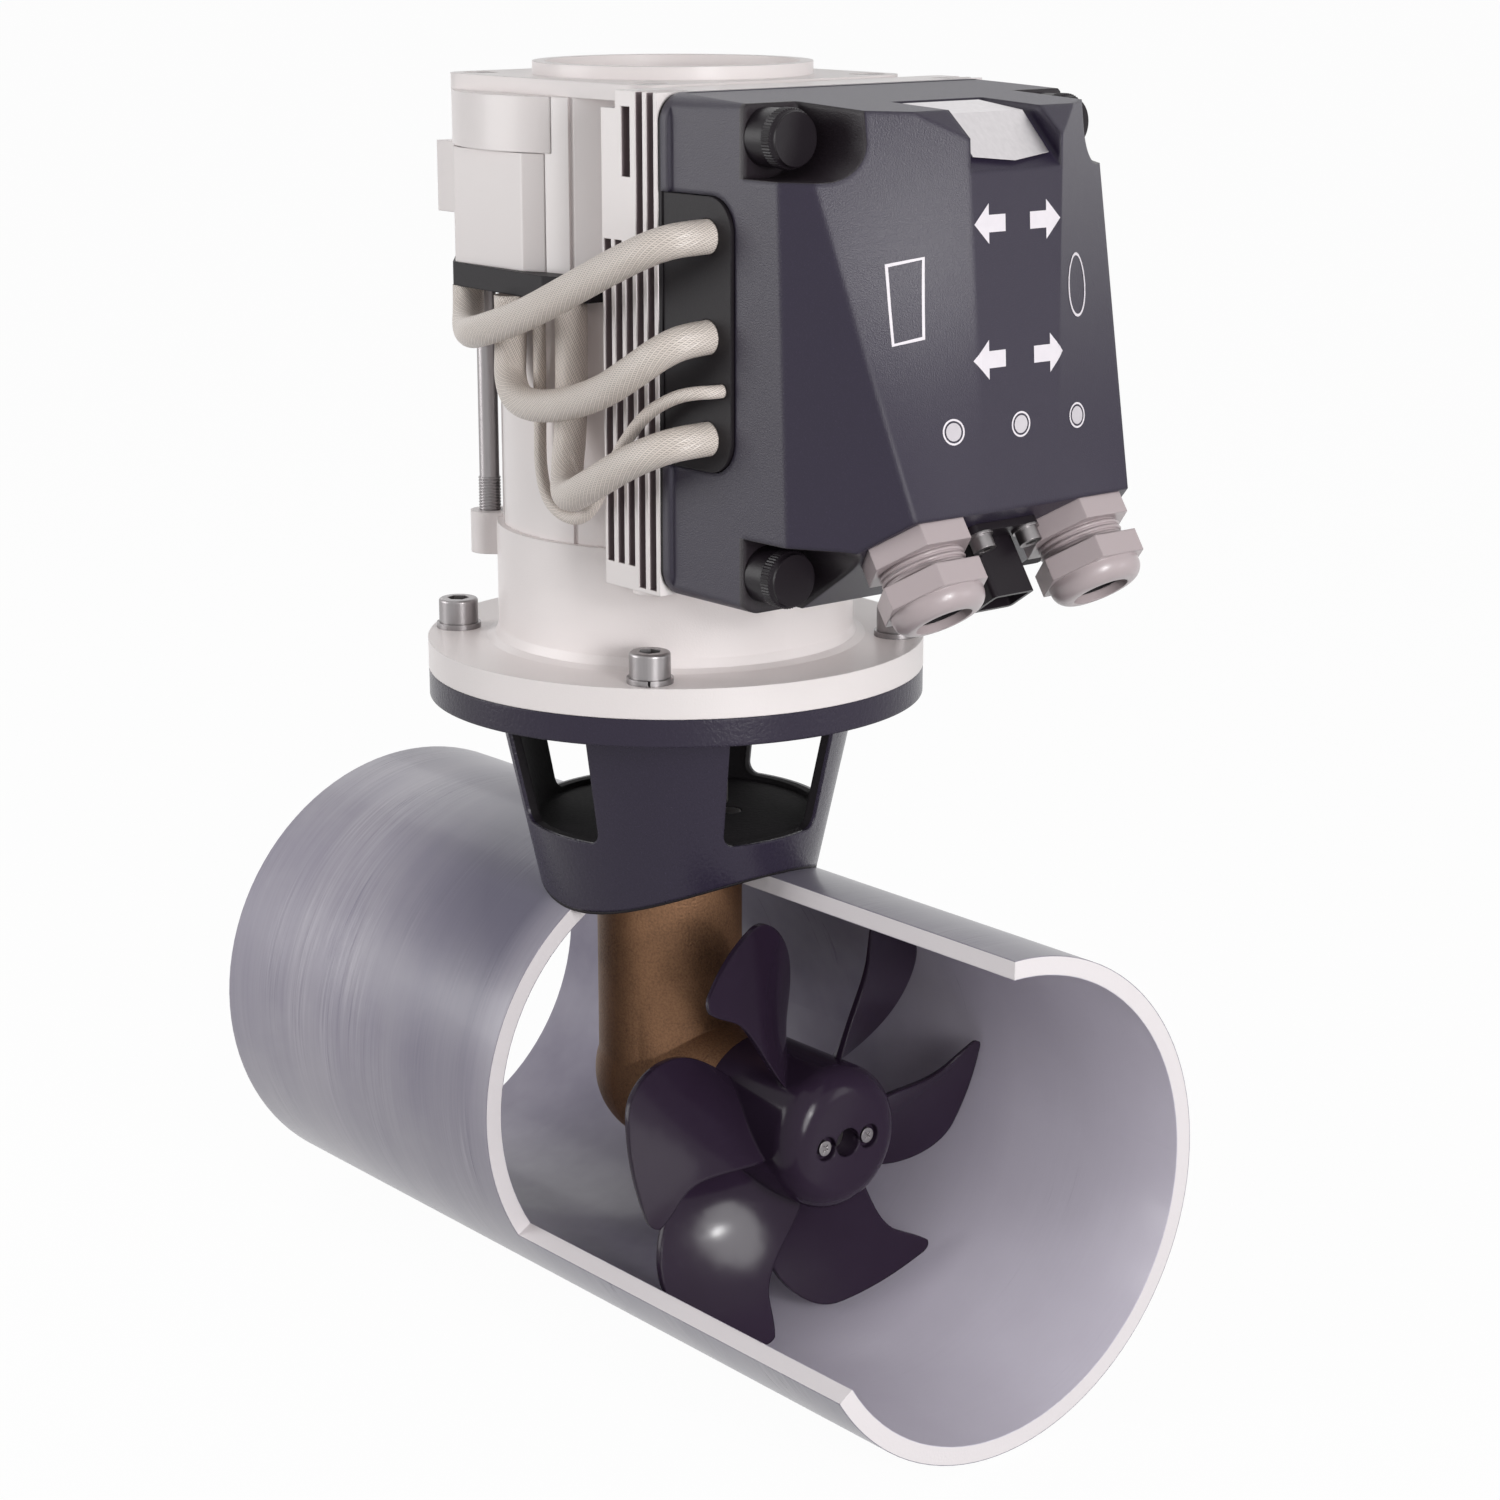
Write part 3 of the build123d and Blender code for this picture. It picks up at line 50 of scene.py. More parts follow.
# camera and light first
studio = {
    "cameraPlace": (0.99610, -0.79342, 0.47781),
    "turn": 50.1036,
    "dip": 14.8484,
    "lens": 76.456,
    "floorHeight": -0.1002,
    "floorColour": tone(255, 255, 255),
    "roomGlow": 0.28,
    "floorHalf": 40.0,
    "floorBounce": (0.32, 0.32, 0.32, 1.0),
    "floorShare": 0.968,
    "lamps": (
        # place, aimed at, width, height, watts
        ((1.80, -0.36, 0.48), (0.05, 0.0, 0.12), 0.60, 1.05, 20.0),
        ((1.79, -0.22, 0.49), (0.08, -0.04, -0.03), 0.09, 0.09, 3.6),
        ((-1.05, -1.45, 0.55), (-0.05, 0.0, 0.15), 1.1, 1.2, 15.5),
        ((1.60, 1.00, 0.30), (0.10, 0.0, 0.20), 0.5, 0.9, 2.5),
        ((-1.55, 0.50, 1.05), (-0.05, 0.0, 0.05), 0.8, 0.8, 1.5),
        ((0.10, -0.10, 1.90), (0.0, 0.0, 0.20), 1.2, 1.2, 1.5),
    ),
}

camera = bpy.data.objects.new("camera", bpy.data.cameras.new("camera"))
bpy.context.scene.collection.objects.link(camera)
camera.location = studio["cameraPlace"]
camera.rotation_euler = (math.radians(90 - studio["dip"]), 0, math.radians(studio["turn"]))
camera.data.sensor_width = 36
camera.data.lens = studio["lens"]
camera.data.clip_end = 50
bpy.context.scene.camera = camera
bpy.context.scene.view_settings.view_transform = "Standard"


class Wire:  # a socket that can be added, multiplied and compared in plain Python
    def __init__(self, paint, socket):
        self.paint = paint
        self.socket = socket

    def maths(self, operation, other=None):
        return self.paint.node("ShaderNodeMath", {"operation": operation}, {0: self, 1: other})

    def flipped(self, operation, other):
        return self.paint.node("ShaderNodeMath", {"operation": operation}, {0: other, 1: self})

    def __add__(self, other):
        return self.maths("ADD", other)

    def __radd__(self, other):
        return self.flipped("ADD", other)

    def __sub__(self, other):
        return self.maths("SUBTRACT", other)

    def __rsub__(self, other):
        return self.flipped("SUBTRACT", other)

    def __mul__(self, other):
        return self.maths("MULTIPLY", other)

    def __rmul__(self, other):
        return self.flipped("MULTIPLY", other)

    def __truediv__(self, other):
        return self.maths("DIVIDE", other)

    def __rtruediv__(self, other):
        return self.flipped("DIVIDE", other)

    def __pow__(self, other):
        return self.maths("POWER", other)

    def __gt__(self, other):
        return self.maths("GREATER_THAN", other)

    def __lt__(self, other):
        return self.maths("LESS_THAN", other)

    def ramp(self, low, high):  # 0 below low, 1 above high, straight between
        return self.paint.node("ShaderNodeMapRange", {"clamp": True}, {0: self, 1: low, 2: high})


class Paint:  # one material and the nodes that make its finish
    def __init__(self, name):
        self.material = bpy.data.materials.new(name)
        self.material.use_nodes = True
        self.tree = self.material.node_tree
        self.shader = self.tree.nodes["Principled BSDF"]

    def node(self, kind, settings=None, sockets=None, output=0):
        made = self.tree.nodes.new(kind)
        for key, value in (settings or {}).items():
            setattr(made, key, value)
        for key, value in (sockets or {}).items():
            if value is None:
                continue
            if isinstance(value, Wire):
                self.tree.links.new(value.socket, made.inputs[key])
            else:
                made.inputs[key].default_value = value
        return Wire(self, made.outputs[output])

    def place(self):  # the point on the object, in metres
        return self.node("ShaderNodeTexCoord", output="Object")

    def uv(self, name):
        return self.node("ShaderNodeUVMap", {"uv_map": name})

    def split(self, vector):
        parts = self.tree.nodes.new("ShaderNodeSeparateXYZ")
        self.tree.links.new(vector.socket, parts.inputs[0])
        return [Wire(self, parts.outputs[i]) for i in range(3)]

    def join(self, x, y, z):
        return self.node("ShaderNodeCombineXYZ", sockets={0: x, 1: y, 2: z})

    def stretched(self, vector, x, y, z):
        return self.node("ShaderNodeVectorMath", {"operation": "MULTIPLY"}, {0: vector, 1: (x, y, z)})

    def noise(self, vector, scale, detail=2.0, roughness=0.5):
        return self.node("ShaderNodeTexNoise", sockets={"Vector": vector, "Scale": scale, "Detail": detail,
                                                        "Roughness": roughness})

    def blend(self, mask, low, high):
        return self.node("ShaderNodeMix", {"data_type": "RGBA"}, {0: mask, 6: low, 7: high}, output=2)

    def bump(self, height, strength, reach, normal=None):  # reach in metres
        return self.node("ShaderNodeBump", sockets={"Strength": strength, "Distance": reach,
                                                    "Height": height, "Normal": normal})

    def softEdge(self, radius):
        return self.node("ShaderNodeBevel", {"samples": 4}, {"Radius": radius})

    def set(self, **values):
        names = {"colour": "Base Color", "rough": "Roughness", "metal": "Metallic", "normal": "Normal",
                 "coat": "Coat Weight", "coatRough": "Coat Roughness", "gloss": "Specular IOR Level"}
        for key, value in values.items():
            socket = self.shader.inputs[names[key]]
            if isinstance(value, Wire):
                self.tree.links.new(value.socket, socket)
            else:
                socket.default_value = value
        return self.material


def dress(material, *names):
    for name in names:
        mesh = nodes[name].data
        mesh.materials.clear()
        mesh.materials.append(material)


def newPiece(name, mesh, body, material):
    piece = bpy.data.objects.new(name, mesh)
    bpy.context.scene.collection.objects.link(piece)
    mesh.materials.clear()
    mesh.materials.append(material)
    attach(piece, body)
    return piece


# leads: braided sleeves on one smooth line each, from the terminals into the grommet
leads = {
    "routes": (
        ((-43, -69.5, 333.4), (-43, -69.5, 325), (-30, -79.5, 316.5), (-4, -92, 320.5), (31, -96.5, 330),
         (65, -98.5, 343.5), (94, -99, 355.5), (112, -95.5, 363), (118, -86.5, 365), (118, -70.2, 365)),
        ((-4.5, -77, 333.4), (-4.5, -77, 315), (-2.5, -79.5, 300), (14, -86, 294), (44, -91, 297),
         (76, -95, 306), (97, -97, 316), (112, -94.5, 325.5), (118, -86.5, 329.5), (118, -70.2, 329.5)),
        ((28.5, -72.5, 333.4), (28.5, -72.5, 311), (28.2, -73, 287), (31, -77.5, 269), (44, -87.5, 261.5),
         (70, -95.5, 271.5), (95, -97.5, 283.5), (111.5, -95, 290.5), (118, -86.5, 293), (118, -70.2, 293)),
        ((10, -74, 333.4), (10, -74, 312), (9.6, -74, 288), (10.5, -75, 266), (20, -77.5, 254.5),
         (38, -79.5, 251.5), (52, -81.5, 257.5), (63, -83.5, 271), (76, -85.5, 286),
         (94, -88, 300.5), (112, -89, 308.5), (122, -87, 310.8), (126, -82.5, 311), (126, -70.2, 311)),
    ),
    "names": ("powerLead1", "powerLead2", "powerLead3", "signalLead"),
    "nodes": ("power_lead_1", "power_lead_2", "power_lead_3", "signal_lead"),
    "radii": (6.2, 6.2, 6.2, 2.45),
    "sides": 40,
    "smoothness": 14,
    "strands": (46, 20),  # power, signal
    "pitches": (0.0017, 0.0014),
    "colour": tone(238, 228, 220),
    # painted shade for the gaps between the braid's strands
    "gap": tone(96, 82, 76),
    "worn": tone(150, 132, 116),
}


def routeLine(points):
    curve = bpy.data.curves.new("route", "CURVE")
    curve.dimensions = "3D"
    spline = curve.splines.new("NURBS")
    spline.points.add(len(points) - 1)
    for knot, point in zip(spline.points, points):
        knot.co = (point[0] * mm, point[1] * mm, point[2] * mm, 1)
    spline.order_u = 3
    spline.use_endpoint_u = True
    spline.resolution_u = leads["smoothness"]
    holder = bpy.data.objects.new("route", curve)
    bpy.context.scene.collection.objects.link(holder)
    line = bpy.data.meshes.new_from_object(holder)
    path = [v.co.copy() for v in line.vertices]
    bpy.data.objects.remove(holder)
    return path


def sleeveMesh(name, path, radius):
    sides = leads["sides"]
    built = bmesh.new()
    layer = built.loops.layers.uv.new("sleeve")
    heading = (path[1] - path[0]).normalized()
    side = heading.orthogonal().normalized()
    rings, runs, run = [], [], 0.0
    for i, point in enumerate(path):
        after = path[min(i + 1, len(path) - 1)] - path[max(i - 1, 0)]
        after.normalize()
        side = (side - after * side.dot(after)).normalized()
        other = after.cross(side)
        if i:
            run += (point - path[i - 1]).length
        runs.append(run)
        rings.append([built.verts.new(point + radius * (side * math.cos(t) + other * math.sin(t)))
                      for t in (2 * math.pi * k / sides for k in range(sides))])
    for i in range(len(rings) - 1):
        for k in range(sides):
            j = (k + 1) % sides
            face = built.faces.new((rings[i][k], rings[i][j], rings[i + 1][j], rings[i + 1][k]))
            face.smooth = True
            for loop, spot in zip(face.loops, ((k, i), (k + 1, i), (k + 1, i + 1), (k, i + 1))):
                loop[layer].uv = (spot[0] / sides, runs[spot[1]])
    for ring, turn in ((rings[0], -1), (rings[-1], 1)):
        built.faces.new(ring[::turn])
    mesh = bpy.data.meshes.new(name)
    built.normal_update()
    built.to_mesh(mesh)
    built.free()
    return mesh


def sleevePaint(name, strands, pitch):
    paint = Paint(name)
    around, along, _ = paint.split(paint.uv("sleeve"))
    turns = along / pitch
    left = (around * strands + turns).maths("FRACT")
    right = (around * strands - turns).maths("FRACT")
    crownLeft = 1 - (left - 0.5).maths("ABSOLUTE") * 2
    crownRight = 1 - (right - 0.5).maths("ABSOLUTE") * 2
    over = ((around * strands * 0.5 + turns * 0.5).maths("FRACT") > 0.5)
    weave = crownLeft * over + crownRight * (1 - over)
    # painted shade: the gaps between the braid's strands are darkened
    shade = weave.ramp(0.0, 0.42)
    wander = paint.noise(paint.place(), 60, 3)
    colour = paint.blend(shade, leads["gap"], leads["colour"])
    colour = paint.blend(wander * 0.2, colour, leads["worn"])
    return paint.set(colour=colour, rough=0.38, gloss=0.6, normal=paint.bump(weave, 0.4, 0.0003))


leadMaterial = sleevePaint("braidedSleeve", leads["strands"][0], leads["pitches"][0])
signalMaterial = sleevePaint("signalSleeve", leads["strands"][-1], leads["pitches"][-1])
for name, node, route, radius in zip(leads["names"], leads["nodes"], leads["routes"], leads["radii"]):
    path = routeLine(route)
    length = sum((b - a).length for a, b in zip(path, path[1:]))
    lead = newPiece(name, sleeveMesh(name, path, radius * mm), "thruster",
                    signalMaterial if name == "signalLead" else leadMaterial)
    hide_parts(node)
    2 * radius * mm
    print(name, "length", round(length, 4))


# finishes
shared = {
    "broadScale": 14,  # slow change of tone over a whole casting
    "castReach": 0.0003,
    "coatRough": 0.15,
}


def darker(colour, share):
    return tuple(c * share for c in colour[:3]) + (1,)


def castPaint(name, colour, grain, depth, rough, coat=0.0, mottle=0.10, edge=0.0006, gloss=0.5):
    paint = Paint(name)
    place = paint.place()
    fine = paint.noise(place, grain, 2, 0.6)
    broad = paint.noise(place, shared["broadScale"], 3)
    tinted = paint.blend(broad.ramp(0.3, 0.7) * mottle, colour, darker(colour, 0.72))
    normal = paint.bump(fine, depth, shared["castReach"], paint.softEdge(edge))
    return paint.set(colour=tinted, rough=rough + (fine - 0.5) * 0.12, coat=coat,
                     coatRough=shared["coatRough"], gloss=gloss, normal=normal)


finishes = {
    "white": tone(238, 231, 230),
    "navyMetal": tone(48, 42, 58),
    "navyPlastic": tone(37, 30, 49),
    # painted shade for the cover's knob pockets
    "pocket": tone(34, 27, 33),
    # painted shade for the grooves between the heat sink's fins
    "groove": tone(140, 127, 130),
    "propeller": tone(42, 31, 46),
    "bronze": tone(140, 104, 78),
    "bronzeDark": tone(84, 63, 50),
    "rubber": tone(26, 22, 26),
    "knob": tone(30, 25, 30),
    "gland": tone(176, 163, 165),
    "steel": tone(152, 148, 149),
    "tunnelOut": tone(178, 173, 184),
    "tunnelDark": tone(134, 129, 144),
    "tunnelRim": tone(232, 226, 228),
    "tunnelIn": tone(212, 206, 219),
}

whitePaint = castPaint("whitePaint", finishes["white"], grain=1500, depth=0.25, rough=0.45, coat=0.15, mottle=0.06)
smoothWhite = castPaint("smoothWhitePaint", finishes["white"], grain=700, depth=0.06, rough=0.38, coat=0.2, mottle=0.04)
knobPlastic = castPaint("knobPlastic", finishes["knob"], grain=1800, depth=0.15, rough=0.35, mottle=0.05, edge=0.0004,
                        gloss=0.2)
glandPlastic = castPaint("glandPlastic", finishes["gland"], grain=1200, depth=0.08, rough=0.34, coat=0.2, mottle=0.05,
                         edge=0.0008)
rubber = castPaint("blackRubber", finishes["rubber"], grain=1500, depth=0.12, rough=0.5, mottle=0.1, edge=0.0008,
                   gloss=0.2)
print("paints made")


coverSkin = {
    "knobAcross": 67 * mm,  # where the four knob pockets are
    "knobHigh": 400 * mm,
    "knobLow": 245 * mm,
    "pocketRadius": 14.15 * mm,
    "pocketFloor": 134 * mm,
    "grain": 1900,
    "shaded": tone(30, 26, 36),
    # painted glints: a lighter tone for fine specks of the grain
    "paintedGlint": tone(60, 51, 74),
    "rough": 0.40,
    "gloss": 0.40,
    "edge": 0.0028,
}


def coverPaint():
    paint = Paint("coverPlastic")
    place = paint.place()
    x, y, z = paint.split(place)
    across = (coverSkin["knobAcross"] - y.maths("ABSOLUTE")).maths("MAXIMUM", 0.0)
    upper = (coverSkin["knobHigh"] - z).maths("MAXIMUM", 0.0)
    lower = (z - coverSkin["knobLow"]).maths("MAXIMUM", 0.0)
    nearest = (across * across + upper.maths("MINIMUM", lower) ** 2).maths("SQRT")
    # painted shade: the knob pockets are darkened to near black as if in deep shadow
    pocket = (nearest < coverSkin["pocketRadius"]) * (x > coverSkin["pocketFloor"])
    fine = paint.noise(place, coverSkin["grain"], 2, 0.6)
    broad = paint.noise(place, shared["broadScale"], 3)
    colour = paint.blend(broad.ramp(0.3, 0.7) * 0.10, finishes["navyPlastic"], coverSkin["shaded"])
    # painted glints: fine lighter specks stand in for highlights on the grain
    colour = paint.blend(fine.ramp(0.58, 0.75) * 0.35, colour, coverSkin["paintedGlint"])
    colour = paint.blend(pocket, colour, finishes["pocket"])
    return paint.set(colour=colour, rough=coverSkin["rough"] + (fine - 0.5) * 0.15, gloss=coverSkin["gloss"],
                     normal=paint.bump(fine, 0.4, shared["castReach"], paint.softEdge(coverSkin["edge"])))


bellSkin = {
    "rimRadius": 74.5 * mm,  # the cone's wall, which parts the outside from the inside
    "rimHeight": 167.8 * mm,
    "lean": 0.215,
    "wall": 1.5 * mm,
    "floor": 113.4 * mm,
    "top": 170 * mm,
    "peel": 620,
    "shaded": tone(36, 31, 44),
    # painted shade for the bell's inside
    "inner": tone(20, 16, 20),
    "rough": 0.28,
    "gloss": 0.24,
}


def bellPaint():
    paint = Paint("navyPowderCoat")
    place = paint.place()
    x, y, z = paint.split(place)
    radius = (x * x + y * y).maths("SQRT")
    wall = bellSkin["rimRadius"] - (bellSkin["rimHeight"] - z) * bellSkin["lean"]
    # painted shade: the inside of the bell is darkened
    inside = (radius < wall - bellSkin["wall"]) * (z > bellSkin["floor"]) * (z < bellSkin["top"])
    peel = paint.noise(place, bellSkin["peel"], 2, 0.6)
    broad = paint.noise(place, shared["broadScale"], 3)
    colour = paint.blend(broad.ramp(0.3, 0.7) * 0.12, finishes["navyMetal"], bellSkin["shaded"])
    colour = paint.blend(inside, colour, bellSkin["inner"])
    return paint.set(colour=colour, rough=bellSkin["rough"] + (peel - 0.5) * 0.12 + inside * 0.5,
                     gloss=bellSkin["gloss"],
                     normal=paint.bump(peel, 0.6, shared["castReach"], paint.softEdge(0.0015)))


finGrooves = {"out": 79.5 * mm, "in": 62.6 * mm, "back": 58.6 * mm, "front": 90.9 * mm, "low": 231.4 * mm,
              "high": 413.2 * mm, "grain": 700, "rough": 0.38, "coat": 0.2}


def heatSinkPaint():
    paint = Paint("finPaint")
    place = paint.place()
    x, y, z = paint.split(place)
    out = y.maths("ABSOLUTE")
    # painted shade: the grooves between the fins are darkened
    groove = (out < finGrooves["out"]) * (out > finGrooves["in"]) * (x > finGrooves["back"]) * (x < finGrooves["front"])
    groove = groove * (z > finGrooves["low"]) * (z < finGrooves["high"])
    fine = paint.noise(place, finGrooves["grain"], 2, 0.6)
    colour = paint.blend(groove, finishes["white"], finishes["groove"])
    return paint.set(colour=colour, rough=finGrooves["rough"] + (fine - 0.5) * 0.1, coat=finGrooves["coat"],
                     coatRough=shared["coatRough"],
                     normal=paint.bump(fine, 0.06, shared["castReach"], paint.softEdge(0.0004)))


bladeSkin = {"wander": 30, "scuff": 260, "worn": tone(50, 39, 56), "rough": 0.14, "gloss": 0.15, "edge": 0.0014}


def propellerPaint():
    paint = Paint("propellerPlastic")
    place = paint.place()
    wander = paint.noise(place, bladeSkin["wander"], 2)
    colour = paint.blend(wander.ramp(0.35, 0.65) * 0.3, finishes["propeller"], bladeSkin["worn"])
    scuff = paint.noise(place, bladeSkin["scuff"], 4, 0.6)
    return paint.set(colour=colour, rough=bladeSkin["rough"] + scuff.ramp(0.55, 0.8) * 0.06, gloss=bladeSkin["gloss"],
                     normal=paint.bump(wander, 0.04, 0.002, paint.softEdge(bladeSkin["edge"])))


legSkin = {"sand": 1100, "broad": 35, "pits": 700.0, "bright": tone(196, 148, 108), "rough": 0.46, "metal": 0.55,
           "gloss": 0.3, "edge": 0.0012}


def bronzePaint():
    paint = Paint("castBronze")
    place = paint.place()
    sand = paint.noise(place, legSkin["sand"], 3, 0.65)
    broad = paint.noise(place, legSkin["broad"], 4, 0.55)
    pits = paint.node("ShaderNodeTexVoronoi", {"feature": "F1"}, {"Vector": place, "Scale": legSkin["pits"]})
    colour = paint.blend(broad.ramp(0.35, 0.8) * 0.7, finishes["bronze"], finishes["bronzeDark"])
    colour = paint.blend(sand.ramp(0.35, 0.6) * 0.3, colour, legSkin["bright"])
    height = sand * 0.7 + pits.ramp(0.1, 0.5) * 0.3
    return paint.set(colour=colour, rough=legSkin["rough"] + broad * 0.15, metal=legSkin["metal"],
                     gloss=legSkin["gloss"], normal=paint.bump(height, 0.5, 0.0004, paint.softEdge(legSkin["edge"])))


tunnelSkin = {
    "bore": 0.0929,  # radii that part the inside, the cut edge and the outside
    "cutFrom": 0.0927,
    "cutTo": 0.0997,
    "windings": 640,
    "windingTurn": 2.5,
    "patches": (40, 11),
    "bands": (34, 3),
    "clouds": 16,
    "banded": tone(128, 123, 142),
    "clouded": tone(188, 184, 190),
    "shaded": tone(92, 88, 108),
    "innerLit": tone(226, 221, 233),
    "innerShaded": tone(124, 118, 138),
    # painted shadow and dark reflection of the bell on the tunnel
    "bellShade": (80 * mm, 150 * mm),  # from the bell's side outwards
    "rough": 0.24,
    "coat": 0.15,
    "gloss": 0.35,
}


def gelcoatPaint():
    paint = Paint("tunnelGelcoat")
    place = paint.place()
    x, y, z = paint.split(place)
    radius = (y * y + z * z).maths("SQRT")
    turn = y.maths("ARCTAN2", z)
    wound = paint.join(x * tunnelSkin["windings"] + turn * tunnelSkin["windingTurn"], y * 16, z * 16)
    along, around = tunnelSkin["patches"]
    patches = paint.noise(paint.join(x * along, y * around, z * around), 1.0, 2).ramp(0.46, 0.66)
    streaks = 0.5 + (paint.noise(wound, 1.0, 3, 0.7) - 0.5) * (0.25 + patches * 1.2)
    along, around = tunnelSkin["bands"]
    bands = paint.noise(paint.join(x * along + turn * 0.4, y * around, z * around), 1.0, 2)
    clouds = paint.noise(place, tunnelSkin["clouds"], 4, 0.6)
    inside = radius < tunnelSkin["bore"]
    rim = (radius > tunnelSkin["cutFrom"]) * (radius < tunnelSkin["cutTo"])
    outer = paint.blend(streaks.ramp(0.25, 0.75), finishes["tunnelDark"], finishes["tunnelOut"])
    outer = paint.blend(bands.ramp(0.38, 0.62) * 0.45, outer, tunnelSkin["banded"])
    outer = paint.blend(clouds.ramp(0.45, 0.75) * 0.35, outer, tunnelSkin["clouded"])
    # painted shade: darker near the bell as its shadow and dark reflection, a little over the front part, growing
    # towards the top
    fromBell = (x * x + y * y).maths("SQRT")
    shade = (1 - fromBell.ramp(*tunnelSkin["bellShade"])) * (1 - x.ramp(-20 * mm, 0)) + x.ramp(0, 20 * mm) * 0.25
    outer = paint.blend(shade * z.ramp(-60 * mm, 80 * mm), outer, tunnelSkin["shaded"])
    inner = paint.blend(clouds.ramp(0.3, 0.75) * 0.5 + streaks.ramp(0.3, 0.7) * 0.15, finishes["tunnelIn"],
                        tunnelSkin["innerLit"])
    # painted shade: the inside is darkened towards the back, behind the leg
    backShade = 1 - x.ramp(20 * mm, 110 * mm)
    inner = paint.blend(backShade * (0.6 + clouds.ramp(0.3, 0.7) * 0.3), inner, tunnelSkin["innerShaded"])
    colour = paint.blend(rim, paint.blend(inside, outer, inner), finishes["tunnelRim"])
    cutGrain = paint.noise(place, 900, 2)
    height = streaks * (1 - rim) * (1 - inside * 0.8) + cutGrain * rim * 0.4
    rough = tunnelSkin["rough"] + streaks * 0.12 + rim * 0.3
    return paint.set(colour=colour, rough=rough, coat=tunnelSkin["coat"], coatRough=0.1, gloss=tunnelSkin["gloss"],
                     normal=paint.bump(height, 0.35, 0.0005, paint.softEdge(0.0007)))


def steelPaint(name, colour, rough=0.28, lines=900):
    paint = Paint(name)
    place = paint.place()
    brushed = paint.noise(paint.stretched(place, lines, lines, lines * 0.1), 1.0, 2)
    return paint.set(colour=paint.blend(brushed * 0.4, colour, darker(colour, 0.6)),
                     rough=rough + brushed * 0.15, metal=1.0,
                     normal=paint.bump(brushed, 0.08, 0.0002, paint.softEdge(0.0004)))


def plainPaint(name, colour, rough, metal=0.0, grain=500, depth=0.1):
    paint = Paint(name)
    fine = paint.noise(paint.place(), grain, 2)
    return paint.set(colour=paint.blend(fine * 0.3, colour, darker(colour, 0.7)),
                     rough=rough, metal=metal, normal=paint.bump(fine, depth, 0.0002))


gelcoat = gelcoatPaint()
bronze = bronzePaint()
bladePlastic = propellerPaint()
steel = steelPaint("machinedSteel", finishes["steel"])
badgeFoil = steelPaint("badgeFoil", tone(222, 218, 220), 0.30, 500)
copper = plainPaint("copperWire", tone(190, 110, 74), 0.35, 1.0)
laminate = plainPaint("boardLaminate", tone(44, 96, 62), 0.4)
polyurethane = plainPaint("couplingRubber", tone(150, 40, 32), 0.5)
capSleeve = plainPaint("capacitorSleeve", tone(60, 60, 66), 0.35)

dress(gelcoat, "tunnel")
dress(bellPaint(), "intermediate_flange")
dress(bronze, "gear_leg", "seal_carrier", "propeller_hub")
dress(whitePaint, "motor_base", "motor_cap")
dress(smoothWhite, "stator_tube", "terminal_cover")
dress(heatSinkPaint(), "heat_sink")
dress(coverPaint(), "controller_cover")
dress(knobPlastic, "knob_upper_near", "knob_lower_near", "knob_upper_far", "knob_lower_far", "connector_socket")
dress(bladePlastic, "propeller")
dress(glandPlastic, "gland_bodies", "gland_nut_near", "gland_nut_far")
dress(rubber, "saddle_gasket", "leg_gasket", "shaft_seals", "terminal_band", "cover_gasket", "cable_grommet",
      "gland_seals")
dress(steel, "leg_screws", "bearing_outer_rings", "bearing_spacer", "flange_bolts", "spring_washers", "stator_core",
      "tie_rods", "connector_screws", "drive_shaft", "drive_pinion", "coupling_lower_hub", "coupling_upper_hub",
      "motor_shaft", "rotor_core", "rotor_magnets", "drive_bearing_inner_rings", "propeller_shaft", "bevel_gear",
      "drive_pin", "propeller_screws", "propeller_bearing_inner_rings")
dress(badgeFoil, "badge_plate")
dress(copper, "stator_windings", "busbars")
dress(laminate, "control_board")
dress(polyurethane, "coupling_spider")
dress(capSleeve, "capacitors")
print("nodes dressed")

# printed marks on the cover's face: plain arrows, a bare frame and ring, and three small lamp windows
marks = {
    "lift": 0.00012,
    "line": 1.0,
    "step": 1.6,
    "probe": 0.30,  # x from which the face is looked for
    "headLength": 7,
    "shaftHalf": 3,
    "lampRing": (4.6, 0.7, 28),  # radius, line, sides
    "lampWindow": (3.2, 24),
    "colour": tone(232, 226, 232),
    "lensColour": tone(206, 200, 206),
    "arrows": (  # centre across, centre height, pointing, length, half width of the head
        (-13.5, 371.0, -1, 15.0, 7.0), (13.5, 371.0, 1, 15.0, 7.0),
        (-14.5, 324.0, -1, 15.0, 7.0), (14.5, 324.0, 1, 15.0, 7.0),
    ),
    "frame": ((-50.8, 358.4), (-37.5, 360.6), (-39.3, 332.4), (-51.5, 330.5)),  # seen square from the front
    "ring": (34.7, 346.0, 7.2, 11.4),
    "lamps": ((-31.0, 300.0), (0.0, 300.0), (30.0, 300.0)),
}
face = nodes["controller_cover"]


def onFace(y, z):
    hit, point, normal, _ = face.ray_cast(Vector((marks["probe"], y * mm, z * mm)), Vector((-1, 0, 0)))
    return point + normal * marks["lift"]


